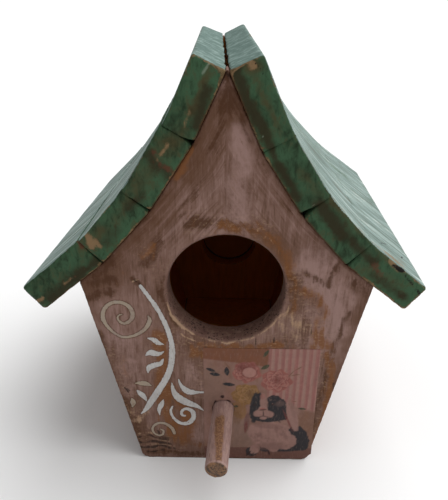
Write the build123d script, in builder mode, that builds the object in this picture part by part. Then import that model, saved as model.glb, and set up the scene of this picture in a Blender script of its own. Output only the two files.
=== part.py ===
"""Birdhouse: a tapered box under a swept roof of four slats a side, with a perch and a swivelling clean-out cover.

Millimetres and degrees. +Z is up and the entrance looks along -Y. The origin is the centre of the floor's underside.
"""

import os
from collections import namedtuple
from math import asin, cos, radians, sin, tan

from build123d import *

# ---------------------------------------------------------------- driving dimensions

# box
body_depth = 152.0  # front face of the front board to rear face of the back board
base_width = 80.7  # over both side walls at the bottom
side_lean = 12.5  # lean of each side wall from the vertical
board = 12.0  # thickness of the front, back and side boards
floor_thickness = 12.0
corner_round = 3.0  # outer bottom corners of the boards and walls
floor_gap = 0.05  # glue line between the floor and each wall

# roof line: the underside of the slats, as (front, rear) pairs, because the roof sits a little askew
ridge_offset = (0.0, -4.5)  # of the ridge, towards +X
ridge_height = (182.5, 188.9)
left_eave_reach = (77.5, 74.5)  # centre line to the eave's lower corner
left_eave_height = (84.5, 83.1)
right_eave_reach = (75.2, 80.5)
right_eave_height = (86.3, 89.3)
left_dip = (9.3, 9.3)  # how far the swept line hangs below the straight one
right_dip = (10.3, 11.3)

# the joints between slats, from the ridge down: the share of the roof line above the joint,
# the width it opens to on the underside, and how deep that opening reaches
left_joints = ((0.228, 2.4, 4.5), (0.483, 0.9, 9.5), (0.725, 0.9, 9.5))
right_joints = ((0.260, 0.9, 5.0), (0.499, 2.8, 7.5), (0.731, 0.9, 6.5))

# slats
slat_thickness = 13.5
front_overhang = 2.0
rear_overhang = 8.0
ridge_gap = 0.6  # between the two top slats at their lower corners
eave_round = 1.2
ridge_round = 1.0

# entrance and perch
entrance_diameter = 50.0
entrance_height = 94.0
entrance_round = 0.8  # eased rim
perch_diameter = 9.8
perch_length = 34.0  # outside the front board
perch_height = 31.0
perch_offset = -1.0  # from the centre line, where it enters the board
perch_droop = 6.0
perch_swing = 4.0  # towards -X
perch_floor = 3.0  # wood left behind the perch's socket
perch_ease = 0.6

# paper print glued to the front board
print_thickness = 0.2
print_left = -10.0
print_right = 42.0
print_below_entrance = 4.0
print_edge = 1.0  # bare wood left along the board's edges
print_clearance = 0.3  # round the perch

# hanging hole in the back board
hang_diameter = 7.0
hang_height = 138.0

# clean-out in the back board, and its cover
cleanout_diameter = 36.0
cleanout_height = 57.0
cover_lap = 4.0  # how far the cover reaches past the hole
cover_thickness = 4.0
cover_gap = 0.3  # between the cover and the back board
cover_ease = 0.5
pivot_wood = 12.0  # edge of the clean-out hole to the pivot screw's axis
pivot_lobe = 8.0  # radius of the cover round the screw

# pivot screw and washer
screw_radius = 1.75
screw_clearance = 0.08  # radial, in the cover
screw_bite = 9.0  # depth of the screw in the back board
screw_point = 1.0
screw_head_radius = 3.4
screw_head_height = 2.0
screw_head_round = 0.9
screw_slot_width = 0.9
screw_slot_depth = 0.9
washer_radius = 4.8
washer_thickness = 0.8
washer_gap = 0.2  # between the washer and the cover

# brads
brad_radius = 0.7
brad_head_radius = 1.3
brad_head_height = 0.8
brad_length = 25.0
brad_set = 0.8  # head below the surface
brad_stagger = 2.0  # each side's roof brads are shifted this far along the ridge, so they pass each other
hole_overrun = 2.0  # brad holes reach this far out of the wood

# where the brads stand: shares of the way down a slat, up a wall, and along the box from its middle
top_slat_share = 0.78
middle_slat_shares = (0.28, 0.72)
wall_brad_shares = (0.2, 0.52, 0.84)
wall_row_share = 0.25
floor_row_share = 1 / 3

# ---------------------------------------------------------------- derived places

front_face = body_depth / 2
wall_length = body_depth - 2 * board
roof_depth = body_depth + front_overhang + rear_overhang
lean_tan = tan(radians(side_lean))
wall_run = board / cos(radians(side_lean))  # horizontal thickness of a leaning wall
perch_socket = board - perch_floor
pivot_height = cleanout_height + cleanout_diameter / 2 + pivot_wood
cover_back = front_face + cover_gap
washer_back = cover_back + cover_thickness + washer_gap
head_back = washer_back + washer_thickness
slat_count = len(left_joints) + 1
roof_ends = (-front_face - front_overhang, front_face + rear_overhang)
sky = max(ridge_height) + 2 * slat_thickness  # clear above the ridge

Side = namedtuple("Side", "name flip reach height dip joints")
left_side = Side("left", -1, left_eave_reach, left_eave_height, left_dip, left_joints)
right_side = Side("right", 1, right_eave_reach, right_eave_height, right_dip, right_joints)


def side_reach(height):
    """Half the width over the side walls at a height."""
    return base_width / 2 + height * lean_tan


def roof_end(side, end):
    """The swept roof line of a side at the front (end 0) or the rear (end 1), mirrored to +X.

    Its points run from the ridge to the eave, as (x, z) vectors: both ends and the joints between.
    """
    start = Vector(ridge_gap / 2 + side.flip * ridge_offset[end], ridge_height[end])
    chord = Vector(side.reach[end], side.height[end]) - start
    along = chord.normalized()
    up = Vector(-along.Y, along.X)
    radius = chord.length**2 / (8 * side.dip[end]) + side.dip[end] / 2
    centre = start + chord * 0.5 + up * (radius - side.dip[end])
    half_turn = asin(chord.length / 2 / radius)
    points = []
    for share in (0, *[joint[0] for joint in side.joints], 1):
        turn = half_turn * (2 * share - 1)
        points.append(centre + along * (radius * sin(turn)) - up * (radius * cos(turn)))
    return points


def slat_normal(line, index):
    """Unit normal of slat number index, out of the roof."""
    run = (line[index + 1] - line[index]).normalized()
    return Vector(-run.Y, run.X)


def raised(line, index, amount):
    """Point number index of a roof line, raised by an amount above both slats that meet there."""
    above = slat_normal(line, max(index - 1, 0))
    below = slat_normal(line, min(index, slat_count - 1))
    mitre = (above + below).normalized()
    return line[index] + mitre * (amount / mitre.dot(above))


def slat_outline(side, index, end):
    """Corners of slat number index at one end of the roof, the top slat being 0."""
    line = roof_end(side, end)
    fall = line[index + 1] - line[index]
    length = (roof_end(side, 0)[index + 1] - roof_end(side, 0)[index]).length
    upper = [line[0]]
    if index > 0:
        _, opening, depth = side.joints[index - 1]
        upper = [line[index] + fall * (opening / 2 / length), raised(line, index, depth)]
    lower = [line[-1]]
    if index < slat_count - 1:
        _, opening, depth = side.joints[index]
        lower = [raised(line, index + 1, depth), line[index + 1] - fall * (opening / 2 / length)]
    top = [raised(line, index, slat_thickness), raised(line, index + 1, slat_thickness)]
    return [(side.flip * p.X, p.Y) for p in upper + top + lower]


def above_roof_outline(end):
    """Everything above the underside of the roof at one end, as one outline."""
    outline = []
    for side in (right_side, left_side):
        line = roof_end(side, end)
        run_out = line[-2] + (line[-1] - line[-2]) * 2
        half = [(side.flip * p.X, p.Y) for p in (*line[:-1], run_out)]
        half.append((side.flip * run_out.X, sky))
        outline += half if side is right_side else half[::-1]
    return outline


def save(piece, name):
    """Labels a finished piece and writes its file."""
    piece.label = name
    export_step(piece, f"parts/{name}.step")


os.makedirs("parts", exist_ok=True)

with BuildPart() as above_roof:
    for end, y in enumerate(roof_ends):
        with BuildSketch(Plane.XZ.offset(-y)):
            with BuildLine():
                Polyline(*above_roof_outline(end), close=True)
            make_face()
    loft(ruled=True)

# ---------------------------------------------------------------- brads and their holes

# Each stands on the XY plane's origin, a point of the wood's surface, and is driven along -Z.
with BuildPart() as brad:
    with BuildSketch(Plane.XY.offset(-brad_set - brad_length)):
        Circle(brad_radius)
    extrude(amount=brad_length)
    with BuildSketch(Plane.XY.offset(-brad_set - brad_head_height)):
        Circle(brad_head_radius)
    extrude(amount=brad_head_height)

with BuildPart() as brad_hole:
    add(brad.part)
    with BuildSketch(Plane.XY.offset(-brad_set)):
        Circle(brad_head_radius)
    extrude(amount=brad_set + hole_overrun)


def driven(point, outward):
    """Place of a brad driven into the surface at a point, against the outward direction."""
    return Plane(origin=point, z_dir=outward).location


def over_wall(line):
    """The slat over the middle of a side wall's top, and the share of the way down it where that middle is."""
    for index in reversed(range(slat_count)):
        start, fall = line[index], line[index + 1] - line[index]
        share = (side_reach(start.Y) - wall_run / 2 - start.X) / (fall.X - lean_tan * fall.Y)
        if share > 0:
            break
    return index, share


def roof_places():
    """Brads through the slats into the gable edges of both boards, and into the tops of the walls."""
    boards = (-(front_face - board / 2), front_face - board / 2)
    wall_rows = (*boards, -wall_length * wall_row_share, wall_length * wall_row_share)
    board_spots = [(0, top_slat_share)]
    board_spots += [(n, share) for n in range(1, slat_count - 1) for share in middle_slat_shares]
    places = []
    for side in (left_side, right_side):
        front, rear = roof_end(side, 0), roof_end(side, 1)
        for y in wall_rows:
            row = y + side.flip * brad_stagger
            back = (row - roof_ends[0]) / roof_depth
            line = [p + (q - p) * back for p, q in zip(front, rear)]
            spots = [over_wall(line)]
            if y in boards:
                spots += board_spots
            for index, share in spots:
                out = slat_normal(line, index)
                spot = line[index] + (line[index + 1] - line[index]) * share + out * slat_thickness
                places.append(driven((side.flip * spot.X, row, spot.Y), (side.flip * out.X, 0, out.Y)))
    return places


def wall_places():
    """Brads through the front and back boards into the ends of the walls."""
    places = []
    for flip in (-1, 1):
        for share in wall_brad_shares:
            height = min(left_eave_height + right_eave_height) * share
            across = flip * (side_reach(height) - wall_run / 2)
            places += [driven((across, out * front_face, height), (0, out, 0)) for out in (-1, 1)]
    return places


def floor_places():
    """Brads through the walls into the edges of the floor."""
    middle = floor_thickness / 2
    rows = (-wall_length * floor_row_share, wall_length * floor_row_share)
    return [driven((flip * side_reach(middle), y, middle), (flip, 0, 0)) for flip in (-1, 1) for y in rows]


with BuildPart() as roof_brads:
    with Locations(*roof_places()):
        add(brad.part)
save(roof_brads.part, "roof_brads")

with BuildPart() as wall_brads:
    with Locations(*wall_places()):
        add(brad.part)
save(wall_brads.part, "wall_brads")

with BuildPart() as floor_brads:
    with Locations(*floor_places()):
        add(brad.part)
save(floor_brads.part, "floor_brads")

with BuildPart() as brad_holes:
    with Locations(*roof_places(), *wall_places(), *floor_places()):
        add(brad_hole.part)

# ---------------------------------------------------------------- front board, perch and print

# the front and back boards before the roof line is cut
blank = [(-base_width / 2, 0), (base_width / 2, 0), (side_reach(sky), sky), (-side_reach(sky), sky)]

droop, swing = radians(perch_droop), radians(perch_swing)
perch_out = (-sin(swing) * cos(droop), -cos(swing) * cos(droop), -sin(droop))
perch_plane = Plane(origin=(perch_offset, -front_face, perch_height), z_dir=perch_out)

with BuildPart() as front_board:
    with BuildSketch(Plane.XZ.offset(front_face)):
        with BuildLine():
            Polyline(*blank, close=True)
        make_face()
    extrude(amount=-board)
    add(above_roof.part, mode=Mode.SUBTRACT)
    fillet(front_board.edges().filter_by(Axis.Y).group_by(Axis.Z)[0], corner_round)
    with BuildSketch(Plane.XZ.offset(front_face)):
        with Locations((0, entrance_height)):
            Circle(entrance_diameter / 2)
    extrude(amount=-board, mode=Mode.SUBTRACT)
    rims = front_board.edges().filter_by(GeomType.CIRCLE)
    outer_rims = rims.group_by(Axis.Y)[0]
    fillet(outer_rims.sort_by(SortBy.RADIUS)[-1], entrance_round)
    with BuildSketch(perch_plane.offset(-perch_socket)):
        Circle(perch_diameter / 2)
    extrude(amount=perch_socket + perch_diameter, mode=Mode.SUBTRACT)
    add(brad_holes.part, mode=Mode.SUBTRACT)
save(front_board.part, "front_board")

with BuildPart() as perch:
    with BuildSketch(perch_plane.offset(-perch_socket)):
        Circle(perch_diameter / 2)
    extrude(amount=perch_socket + perch_length)
    chamfer(perch.edges().sort_by(Axis.Y)[0], perch_ease)
save(perch.part, "perch")

print_top = entrance_height - entrance_diameter / 2 - print_below_entrance
print_low, print_high = side_reach(0) - print_edge, side_reach(print_top) - print_edge
with BuildPart() as paper_print:
    with BuildSketch(Plane.XZ.offset(front_face)):
        with BuildLine():
            Polyline(
                (-print_low, print_edge),
                (print_low, print_edge),
                (print_high, print_top),
                (-print_high, print_top),
                close=True,
            )
        make_face()
        with Locations((print_left, 0)):
            Rectangle(print_right - print_left, print_top, align=(Align.MIN, Align.MIN), mode=Mode.INTERSECT)
    extrude(amount=print_thickness)
    with BuildSketch(perch_plane.offset(-perch_socket)):
        Circle(perch_diameter / 2 + print_clearance)
    extrude(amount=perch_socket + perch_diameter, mode=Mode.SUBTRACT)
save(paper_print.part, "paper_print")

# ---------------------------------------------------------------- back board

with BuildPart() as back_board:
    with BuildSketch(Plane.XZ.offset(-front_face)):
        with BuildLine():
            Polyline(*blank, close=True)
        make_face()
    extrude(amount=board)
    add(above_roof.part, mode=Mode.SUBTRACT)
    fillet(back_board.edges().filter_by(Axis.Y).group_by(Axis.Z)[0], corner_round)
    with BuildSketch(Plane.XZ.offset(-front_face)):
        with Locations((0, cleanout_height)):
            Circle(cleanout_diameter / 2)
        with Locations((0, hang_height)):
            Circle(hang_diameter / 2)
    extrude(amount=board, mode=Mode.SUBTRACT)
    with BuildSketch(Plane.XZ.offset(-front_face)):
        with Locations((0, pivot_height)):
            Circle(screw_radius)
    extrude(amount=screw_bite, mode=Mode.SUBTRACT)
    add(brad_holes.part, mode=Mode.SUBTRACT)
save(back_board.part, "back_board")

# ---------------------------------------------------------------- side walls and floor

inner_foot = base_width / 2 - wall_run
for side in (left_side, right_side):
    section = [(base_width / 2, 0), (side_reach(sky), sky), (side_reach(sky) - wall_run, sky), (inner_foot, 0)]
    with BuildPart() as wall:
        with BuildSketch(Plane.XZ.offset(-wall_length / 2)):
            with BuildLine():
                Polyline(*[(side.flip * x, z) for x, z in section], close=True)
            make_face()
        extrude(amount=wall_length)
        add(above_roof.part, mode=Mode.SUBTRACT)
        foot_edges = wall.edges().filter_by(Axis.Y).group_by(Axis.Z)[0]
        fillet(foot_edges.sort_by(Axis.X)[-1 if side.flip > 0 else 0], corner_round)
        add(brad_holes.part, mode=Mode.SUBTRACT)
    save(wall.part, f"{side.name}_wall")

floor_foot = inner_foot - floor_gap
floor_head = floor_foot + floor_thickness * lean_tan
with BuildPart() as floor_board:
    with BuildSketch(Plane.XZ.offset(-wall_length / 2)):
        with BuildLine():
            Polyline(
                (-floor_foot, 0),
                (floor_foot, 0),
                (floor_head, floor_thickness),
                (-floor_head, floor_thickness),
                close=True,
            )
        make_face()
    extrude(amount=wall_length)
    add(brad_holes.part, mode=Mode.SUBTRACT)
save(floor_board.part, "floor_board")

# ---------------------------------------------------------------- roof slats

for side in (left_side, right_side):
    outermost = -1 if side.flip > 0 else 0
    for index in range(slat_count):
        with BuildPart() as slat:
            for end, y in enumerate(roof_ends):
                with BuildSketch(Plane.XZ.offset(-y)):
                    with BuildLine():
                        Polyline(*slat_outline(side, index, end), close=True)
                    make_face()
            loft(ruled=True)
            long_edges = slat.edges().filter_by(lambda e: e.length > roof_depth - board)
            if index == 0:
                fillet(long_edges.sort_by(Axis.Z)[-1], ridge_round)
            if index == slat_count - 1:
                fillet([long_edges.sort_by(Axis.Z)[0], long_edges.sort_by(Axis.X)[outermost]], eave_round)
            add(brad_holes.part, mode=Mode.SUBTRACT)
        save(slat.part, f"{side.name}_slat_{index + 1}")

# ---------------------------------------------------------------- clean-out cover, its screw and washer

with BuildPart() as cleanout_cover:
    with BuildSketch(Plane.XZ.offset(-cover_back)):
        with Locations((0, cleanout_height)):
            Circle(cleanout_diameter / 2 + cover_lap)
        with Locations((0, pivot_height)):
            Circle(pivot_lobe)
        make_hull()
        with Locations((0, pivot_height)):
            Circle(screw_radius + screw_clearance, mode=Mode.SUBTRACT)
    extrude(amount=-cover_thickness)
    chamfer(cleanout_cover.faces().sort_by(Axis.Y)[-1].outer_wire().edges(), cover_ease)
save(cleanout_cover.part, "cleanout_cover")

with BuildPart() as cover_screw:
    with BuildSketch(Plane.XZ.offset(screw_bite - front_face)):
        with Locations((0, pivot_height)):
            Circle(screw_radius)
    extrude(amount=-(screw_bite + head_back - front_face))
    chamfer(cover_screw.edges().sort_by(Axis.Y)[0], screw_point)
    with BuildSketch(Plane.XZ.offset(-head_back)):
        with Locations((0, pivot_height)):
            Circle(screw_head_radius)
    extrude(amount=-screw_head_height)
    fillet(cover_screw.faces().sort_by(Axis.Y)[-1].edges(), screw_head_round)
    with BuildSketch(Plane.XZ.offset(-head_back - screw_head_height)):
        with Locations((0, pivot_height)):
            Rectangle(2 * screw_head_radius, screw_slot_width)
    extrude(amount=screw_slot_depth, mode=Mode.SUBTRACT)
save(cover_screw.part, "cover_screw")

with BuildPart() as cover_washer:
    with BuildSketch(Plane.XZ.offset(-washer_back)):
        with Locations((0, pivot_height)):
            Circle(washer_radius)
            Circle(screw_radius, mode=Mode.SUBTRACT)
    extrude(amount=-washer_thickness)
save(cover_washer.part, "cover_washer")
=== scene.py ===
import math

import bpy
import numpy as np
from mathutils import Matrix, Vector


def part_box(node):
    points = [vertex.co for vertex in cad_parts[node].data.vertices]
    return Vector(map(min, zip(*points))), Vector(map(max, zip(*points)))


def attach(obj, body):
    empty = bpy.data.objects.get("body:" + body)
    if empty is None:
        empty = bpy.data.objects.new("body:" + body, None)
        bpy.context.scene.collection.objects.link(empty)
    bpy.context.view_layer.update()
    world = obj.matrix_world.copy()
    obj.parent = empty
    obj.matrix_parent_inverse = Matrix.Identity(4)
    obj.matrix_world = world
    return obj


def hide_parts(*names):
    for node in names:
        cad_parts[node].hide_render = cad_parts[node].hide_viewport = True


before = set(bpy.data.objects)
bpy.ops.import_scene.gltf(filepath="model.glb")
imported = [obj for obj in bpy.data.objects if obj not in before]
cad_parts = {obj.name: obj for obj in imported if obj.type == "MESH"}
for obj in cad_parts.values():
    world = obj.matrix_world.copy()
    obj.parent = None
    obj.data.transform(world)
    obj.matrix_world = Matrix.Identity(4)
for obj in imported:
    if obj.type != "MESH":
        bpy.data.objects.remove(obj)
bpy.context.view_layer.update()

# Worn, hand-painted birdhouse. Lengths in the dictionaries are millimetres unless a note says otherwise.
mm = 0.001
print("frame loaded:", len(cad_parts), "nodes")


# small helpers for modelling

def pick(piece):
    bpy.ops.object.select_all(action="DESELECT")
    piece.select_set(True)
    bpy.context.view_layer.objects.active = piece


def applyModifier(piece, kind, **settings):
    pick(piece)
    made = piece.modifiers.new(kind.lower(), kind)
    for name, value in settings.items():
        setattr(made, name, value)
    bpy.ops.object.modifier_apply(modifier=made.name)


def copyNode(nodeName, pieceName):
    # a node's triangles are loose, so the copy's doubles are merged first
    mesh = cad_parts[nodeName].data.copy()
    piece = bpy.data.objects.new(pieceName, mesh)
    bpy.context.collection.objects.link(piece)
    mesh.materials.clear()
    pick(piece)
    bpy.ops.object.mode_set(mode="EDIT")
    bpy.ops.mesh.select_all(action="SELECT")
    bpy.ops.mesh.remove_doubles(threshold=0.00001)
    bpy.ops.object.mode_set(mode="OBJECT")
    if mesh.has_custom_normals:
        bpy.ops.mesh.customdata_custom_splitnormals_clear()
    return piece


def dropPiece(piece):
    mesh = piece.data
    bpy.data.objects.remove(piece)
    bpy.data.meshes.remove(mesh)


def readPoints(piece):
    # every vertex, in millimetres
    values = np.empty(len(piece.data.vertices) * 3)
    piece.data.vertices.foreach_get("co", values)
    return values.reshape(-1, 3) * (1 / mm)


def readNormals(piece):
    values = np.empty(len(piece.data.vertices) * 3)
    piece.data.vertex_normals.foreach_get("vector", values)
    return values.reshape(-1, 3)


def readFaces(piece, what):
    # the centre (in metres) or the normal of every face
    values = np.empty(len(piece.data.polygons) * 3)
    piece.data.polygons.foreach_get(what, values)
    return values.reshape(-1, 3)


def writePoints(piece, points):
    piece.data.vertices.foreach_set("co", (points * mm).astype(np.float32).ravel())
    piece.data.update()


def editFaces(piece, chosen):
    # opens the piece in edit mode with only these faces selected
    pick(piece)
    mesh = piece.data
    mesh.vertices.foreach_set("select", np.zeros(len(mesh.vertices), bool))
    mesh.edges.foreach_set("select", np.zeros(len(mesh.edges), bool))
    mesh.polygons.foreach_set("select", chosen)
    bpy.ops.object.mode_set(mode="EDIT")
    bpy.ops.mesh.select_mode(type="FACE")


def addMask(piece, name, values):
    mask = piece.data.attributes.new(name, "FLOAT", "POINT")
    mask.data.foreach_set("value", np.ascontiguousarray(values, dtype=np.float32))


def addVectorMask(piece, name, values):
    mask = piece.data.attributes.new(name, "FLOAT_VECTOR", "POINT")
    mask.data.foreach_set("vector", np.ascontiguousarray(values, dtype=np.float32).ravel())


def ease(values, low, high):
    # 0 up to low, 1 from high on
    share = np.clip((values - low) / (high - low), 0, 1)
    return share * share * (3 - 2 * share)


def fade(values, full, gone):
    # 1 up to full, 0 from gone on
    return ease(-values, -gone, -full)


def deepen(flat):
    # flat points given a third coordinate of nought, for the noises
    return np.stack([flat[:, 0], flat[:, 1], np.zeros(len(flat))], axis=1)


def softNoise(points, size, seed):
    # smooth lumps from -1 to 1, each about as far across as size
    spot = points / size + np.array([seed * 7.31, seed * 3.17, seed * 5.93])
    cell = np.floor(spot).astype(np.int64)
    part = spot - cell
    part = part * part * (3 - 2 * part)
    total = np.zeros(len(points))
    for corner in range(8):
        step = np.array([corner & 1, (corner >> 1) & 1, (corner >> 2) & 1])
        near = cell + step
        # a repeatable number for each cell of the lattice
        mixed = (near[:, 0] * 73856093) ^ (near[:, 1] * 19349663) ^ (near[:, 2] * 83492791) ^ (seed * 9176)
        mixed = (mixed * 1103515245 + 12345) & 0x7FFFFFFF
        mixed = ((mixed >> 7) * 48271 + (mixed & 127) * 69621) & 0x7FFFFFFF
        share = np.prod(np.where(step == 1, part, 1 - part), axis=1)
        total += share * ((mixed & 65535) / 32767.5 - 1)
    return total


def layeredNoise(points, size, seed, layers=3):
    total, strength, weight = 0, 1.0, 0
    for layer in range(layers):
        total = total + strength * softNoise(points, size / 2 ** layer, seed + layer)
        weight += strength
        strength *= 0.55
    return total / weight


def lineReach(points, line):
    # distance of every point from a line, and how far along the line its nearest spot is
    best = np.full(len(points), 1e9)
    along = np.zeros(len(points))
    for number, (start, end) in enumerate(zip(line[:-1], line[1:])):
        start, end = np.array(start, float), np.array(end, float)
        run = end - start
        share = np.clip(((points - start) @ run) / max(run @ run, 1e-9), 0, 1)
        gap = np.linalg.norm(points - (start + share[:, None] * run), axis=1)
        closer = gap < best
        best[closer] = gap[closer]
        along[closer] = number + share[closer]
    return best, along


def smoothLine(line, pieces=5):
    # a curve through the points, whatever each one holds (place and half width)
    points = [np.array(p, float) for p in line]
    points = [2 * points[0] - points[1]] + points + [2 * points[-1] - points[-2]]
    curve = []
    for a, b, c, d in zip(points[:-3], points[1:-2], points[2:-1], points[3:]):
        for n in range(pieces):
            t = n / pieces
            curve.append(0.5 * (2 * b + (c - a) * t + (2 * a - 5 * b + 4 * c - d) * t * t
                                + (3 * b - a - 3 * c + d) * t ** 3))
    curve.append(points[-2])
    return curve


def brushMask(flat, strokes):
    # each stroke: (line, half width, strength); the line wanders, and the edge fades over the half width
    deep = deepen(flat)
    drift = np.stack([layeredNoise(deep, 7, 71), layeredNoise(deep, 7, 72)], axis=1) * 1.8
    drift += np.stack([softNoise(deep, 1.7, 73), softNoise(deep, 1.7, 74)], axis=1) * 0.5
    mask = np.zeros(len(flat))
    for number, (line, half, strength) in enumerate(strokes):
        low, high = np.min(line, axis=0) - 4 * half - 3, np.max(line, axis=0) + 4 * half + 3
        inside = np.all((flat > low) & (flat < high), axis=1)
        if inside.any():
            moved = flat[inside] + drift[inside] * min(1.0, half / 1.5)
            gap, _ = lineReach(moved, line)
            uneven = 0.75 + 0.35 * layeredNoise(deep[inside], 5, 75 + number)
            mask[inside] = np.maximum(mask[inside], strength * uneven * fade(gap, -0.1 * half, 2.0 * half))
    return mask


# what every wooden piece is given
wood = {
    "bradReach": 1.5,  # the brad holes are closed this far round each axis, this far above and below its head
    "bradAbove": 4,
    "bradBelow": 29,
    "puttyRadius": 1.5,  # the putty over each head has sunk a little
    "puttyDepth": 0.3,
    "broadPasses": 14,  # smoothing that the arrises and hollows are measured against
    "nibbleSize": 7,
    "waveSize": 22,
}


# where the brads stand, so that the wood over them can be closed and dimpled
def bradAxes(nodeName):
    piece = copyNode(nodeName, "bradCopy")
    pick(piece)
    bpy.ops.object.mode_set(mode="EDIT")
    bpy.ops.mesh.select_all(action="SELECT")
    bpy.ops.mesh.separate(type="LOOSE")
    bpy.ops.object.mode_set(mode="OBJECT")
    axes = []
    for part in list(bpy.context.selected_objects):
        points = readPoints(part)
        middle = (points.min(axis=0) + points.max(axis=0)) / 2
        centre = points.mean(axis=0)
        _, _, turned = np.linalg.svd(points - centre, full_matrices=False)
        along = turned[0]
        far = (points - middle) @ along
        radius = np.linalg.norm((points - middle) - far[:, None] * along, axis=1)
        wide = far[radius > 0.7 * radius.max()].mean()
        # the head is the wide end
        if wide < 0:
            along = -along
        head = middle + along * abs(far).max()
        axes.append((head, along))
        dropPiece(part)
    return axes


def closeBradHoles(piece):
    points = readPoints(piece)
    near = np.zeros(len(points), bool)
    for head, along in allBrads:
        offset = points - head
        far = offset @ along
        radius = np.linalg.norm(offset - far[:, None] * along, axis=1)
        near |= (radius < wood["bradReach"]) & (far < wood["bradAbove"]) & (far > -wood["bradBelow"])
    if not near.any():
        return
    editFaces(piece, np.array([all(near[v] for v in face.vertices) for face in piece.data.polygons]))
    bpy.ops.mesh.delete(type="FACE")
    bpy.ops.mesh.select_mode(type="VERT")
    bpy.ops.mesh.select_all(action="SELECT")
    bpy.ops.mesh.delete_loose()
    bpy.ops.mesh.select_all(action="SELECT")
    bpy.ops.mesh.fill_holes(sides=0)
    bpy.ops.object.mode_set(mode="OBJECT")


roofBrads, wallBrads, floorBrads = bradAxes("roof_brads"), bradAxes("wall_brads"), bradAxes("floor_brads")
allBrads = roofBrads + wallBrads + floorBrads
print("brads found:", len(roofBrads), len(wallBrads), len(floorBrads))


def dimples(points, normals):
    radius, depth = wood["puttyRadius"], wood["puttyDepth"]
    for head, along in allBrads:
        offset = points - (head + along * 0.8)
        near = (np.linalg.norm(offset, axis=1) < 3 * radius) & (normals @ along > 0.6)
        gap = np.linalg.norm(offset[near], axis=1)
        points[near] -= normals[near] * (depth * fade(gap, 0.5 * radius, 1.6 * radius))[:, None]
    return points


def evenFaces(piece, voxel):
    # small even faces over the whole piece, which lie on its exact shape
    exact = piece.copy()
    exact.data = piece.data.copy()
    bpy.context.collection.objects.link(exact)
    applyModifier(piece, "REMESH", mode="VOXEL", voxel_size=voxel * mm, adaptivity=0, use_smooth_shade=True)
    applyModifier(piece, "SHRINKWRAP", target=exact, wrap_method="NEAREST_SURFACEPOINT")
    dropPiece(exact)
    return readPoints(piece)


def easeEdges(piece):
    # rounds the piece, and measures how far each point stands out from a broader smoothing
    applyModifier(piece, "SMOOTH", factor=0.5, iterations=3)
    soft = readPoints(piece)
    applyModifier(piece, "SMOOTH", factor=0.5, iterations=wood["broadPasses"])
    wide, normals = readPoints(piece), readNormals(piece)
    proud = np.sum((soft - wide) * normals, axis=1)
    addMask(piece, "hollow", ease(-proud, 0.05, 0.4))
    return soft, normals, proud


def carveWood(nodeName, pieceName, voxel, wave=0.12, wear=0.35):
    # a board from its CAD shape: fine even faces, eased arrises, slight waves, and nibbled edges
    piece = copyNode(nodeName, pieceName)
    closeBradHoles(piece)
    sharp = evenFaces(piece, voxel)
    soft, normals, proud = easeEdges(piece)
    arris = ease(proud, 0.06, 0.45)
    worn = ease(layeredNoise(soft, wood["nibbleSize"], 31), 0.05, 0.75) * arris
    points = soft - normals * (wear * worn)[:, None]
    points += normals * (wave * layeredNoise(soft, wood["waveSize"], 5))[:, None]
    points = dimples(points, normals)
    writePoints(piece, points)
    addMask(piece, "arris", arris)
    return piece, points, normals, sharp


# shader maths: a wrapped socket, and a finish that adds nodes

class Wire:
    def __init__(self, finish, socket):
        self.finish = finish
        self.socket = socket

    def calc(self, operation, first, second):
        return self.finish.node("ShaderNodeMath", {"operation": operation}, {0: first, 1: second})

    def __add__(self, other):
        return self.calc("ADD", self, other)

    def __radd__(self, other):
        return self.calc("ADD", other, self)

    def __sub__(self, other):
        return self.calc("SUBTRACT", self, other)

    def __rsub__(self, other):
        return self.calc("SUBTRACT", other, self)

    def __mul__(self, other):
        return self.calc("MULTIPLY", self, other)

    def __rmul__(self, other):
        return self.calc("MULTIPLY", other, self)

    def step(self, low, high, start=0.0, end=1.0):
        # start below low, end above high, eased between
        return self.finish.node("ShaderNodeMapRange", {"interpolation_type": "SMOOTHSTEP", "clamp": True},
                                {0: self, 1: low, 2: high, 3: start, 4: end})

    def fall(self, low, high):
        return self.step(low, high, 1.0, 0.0)


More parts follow.
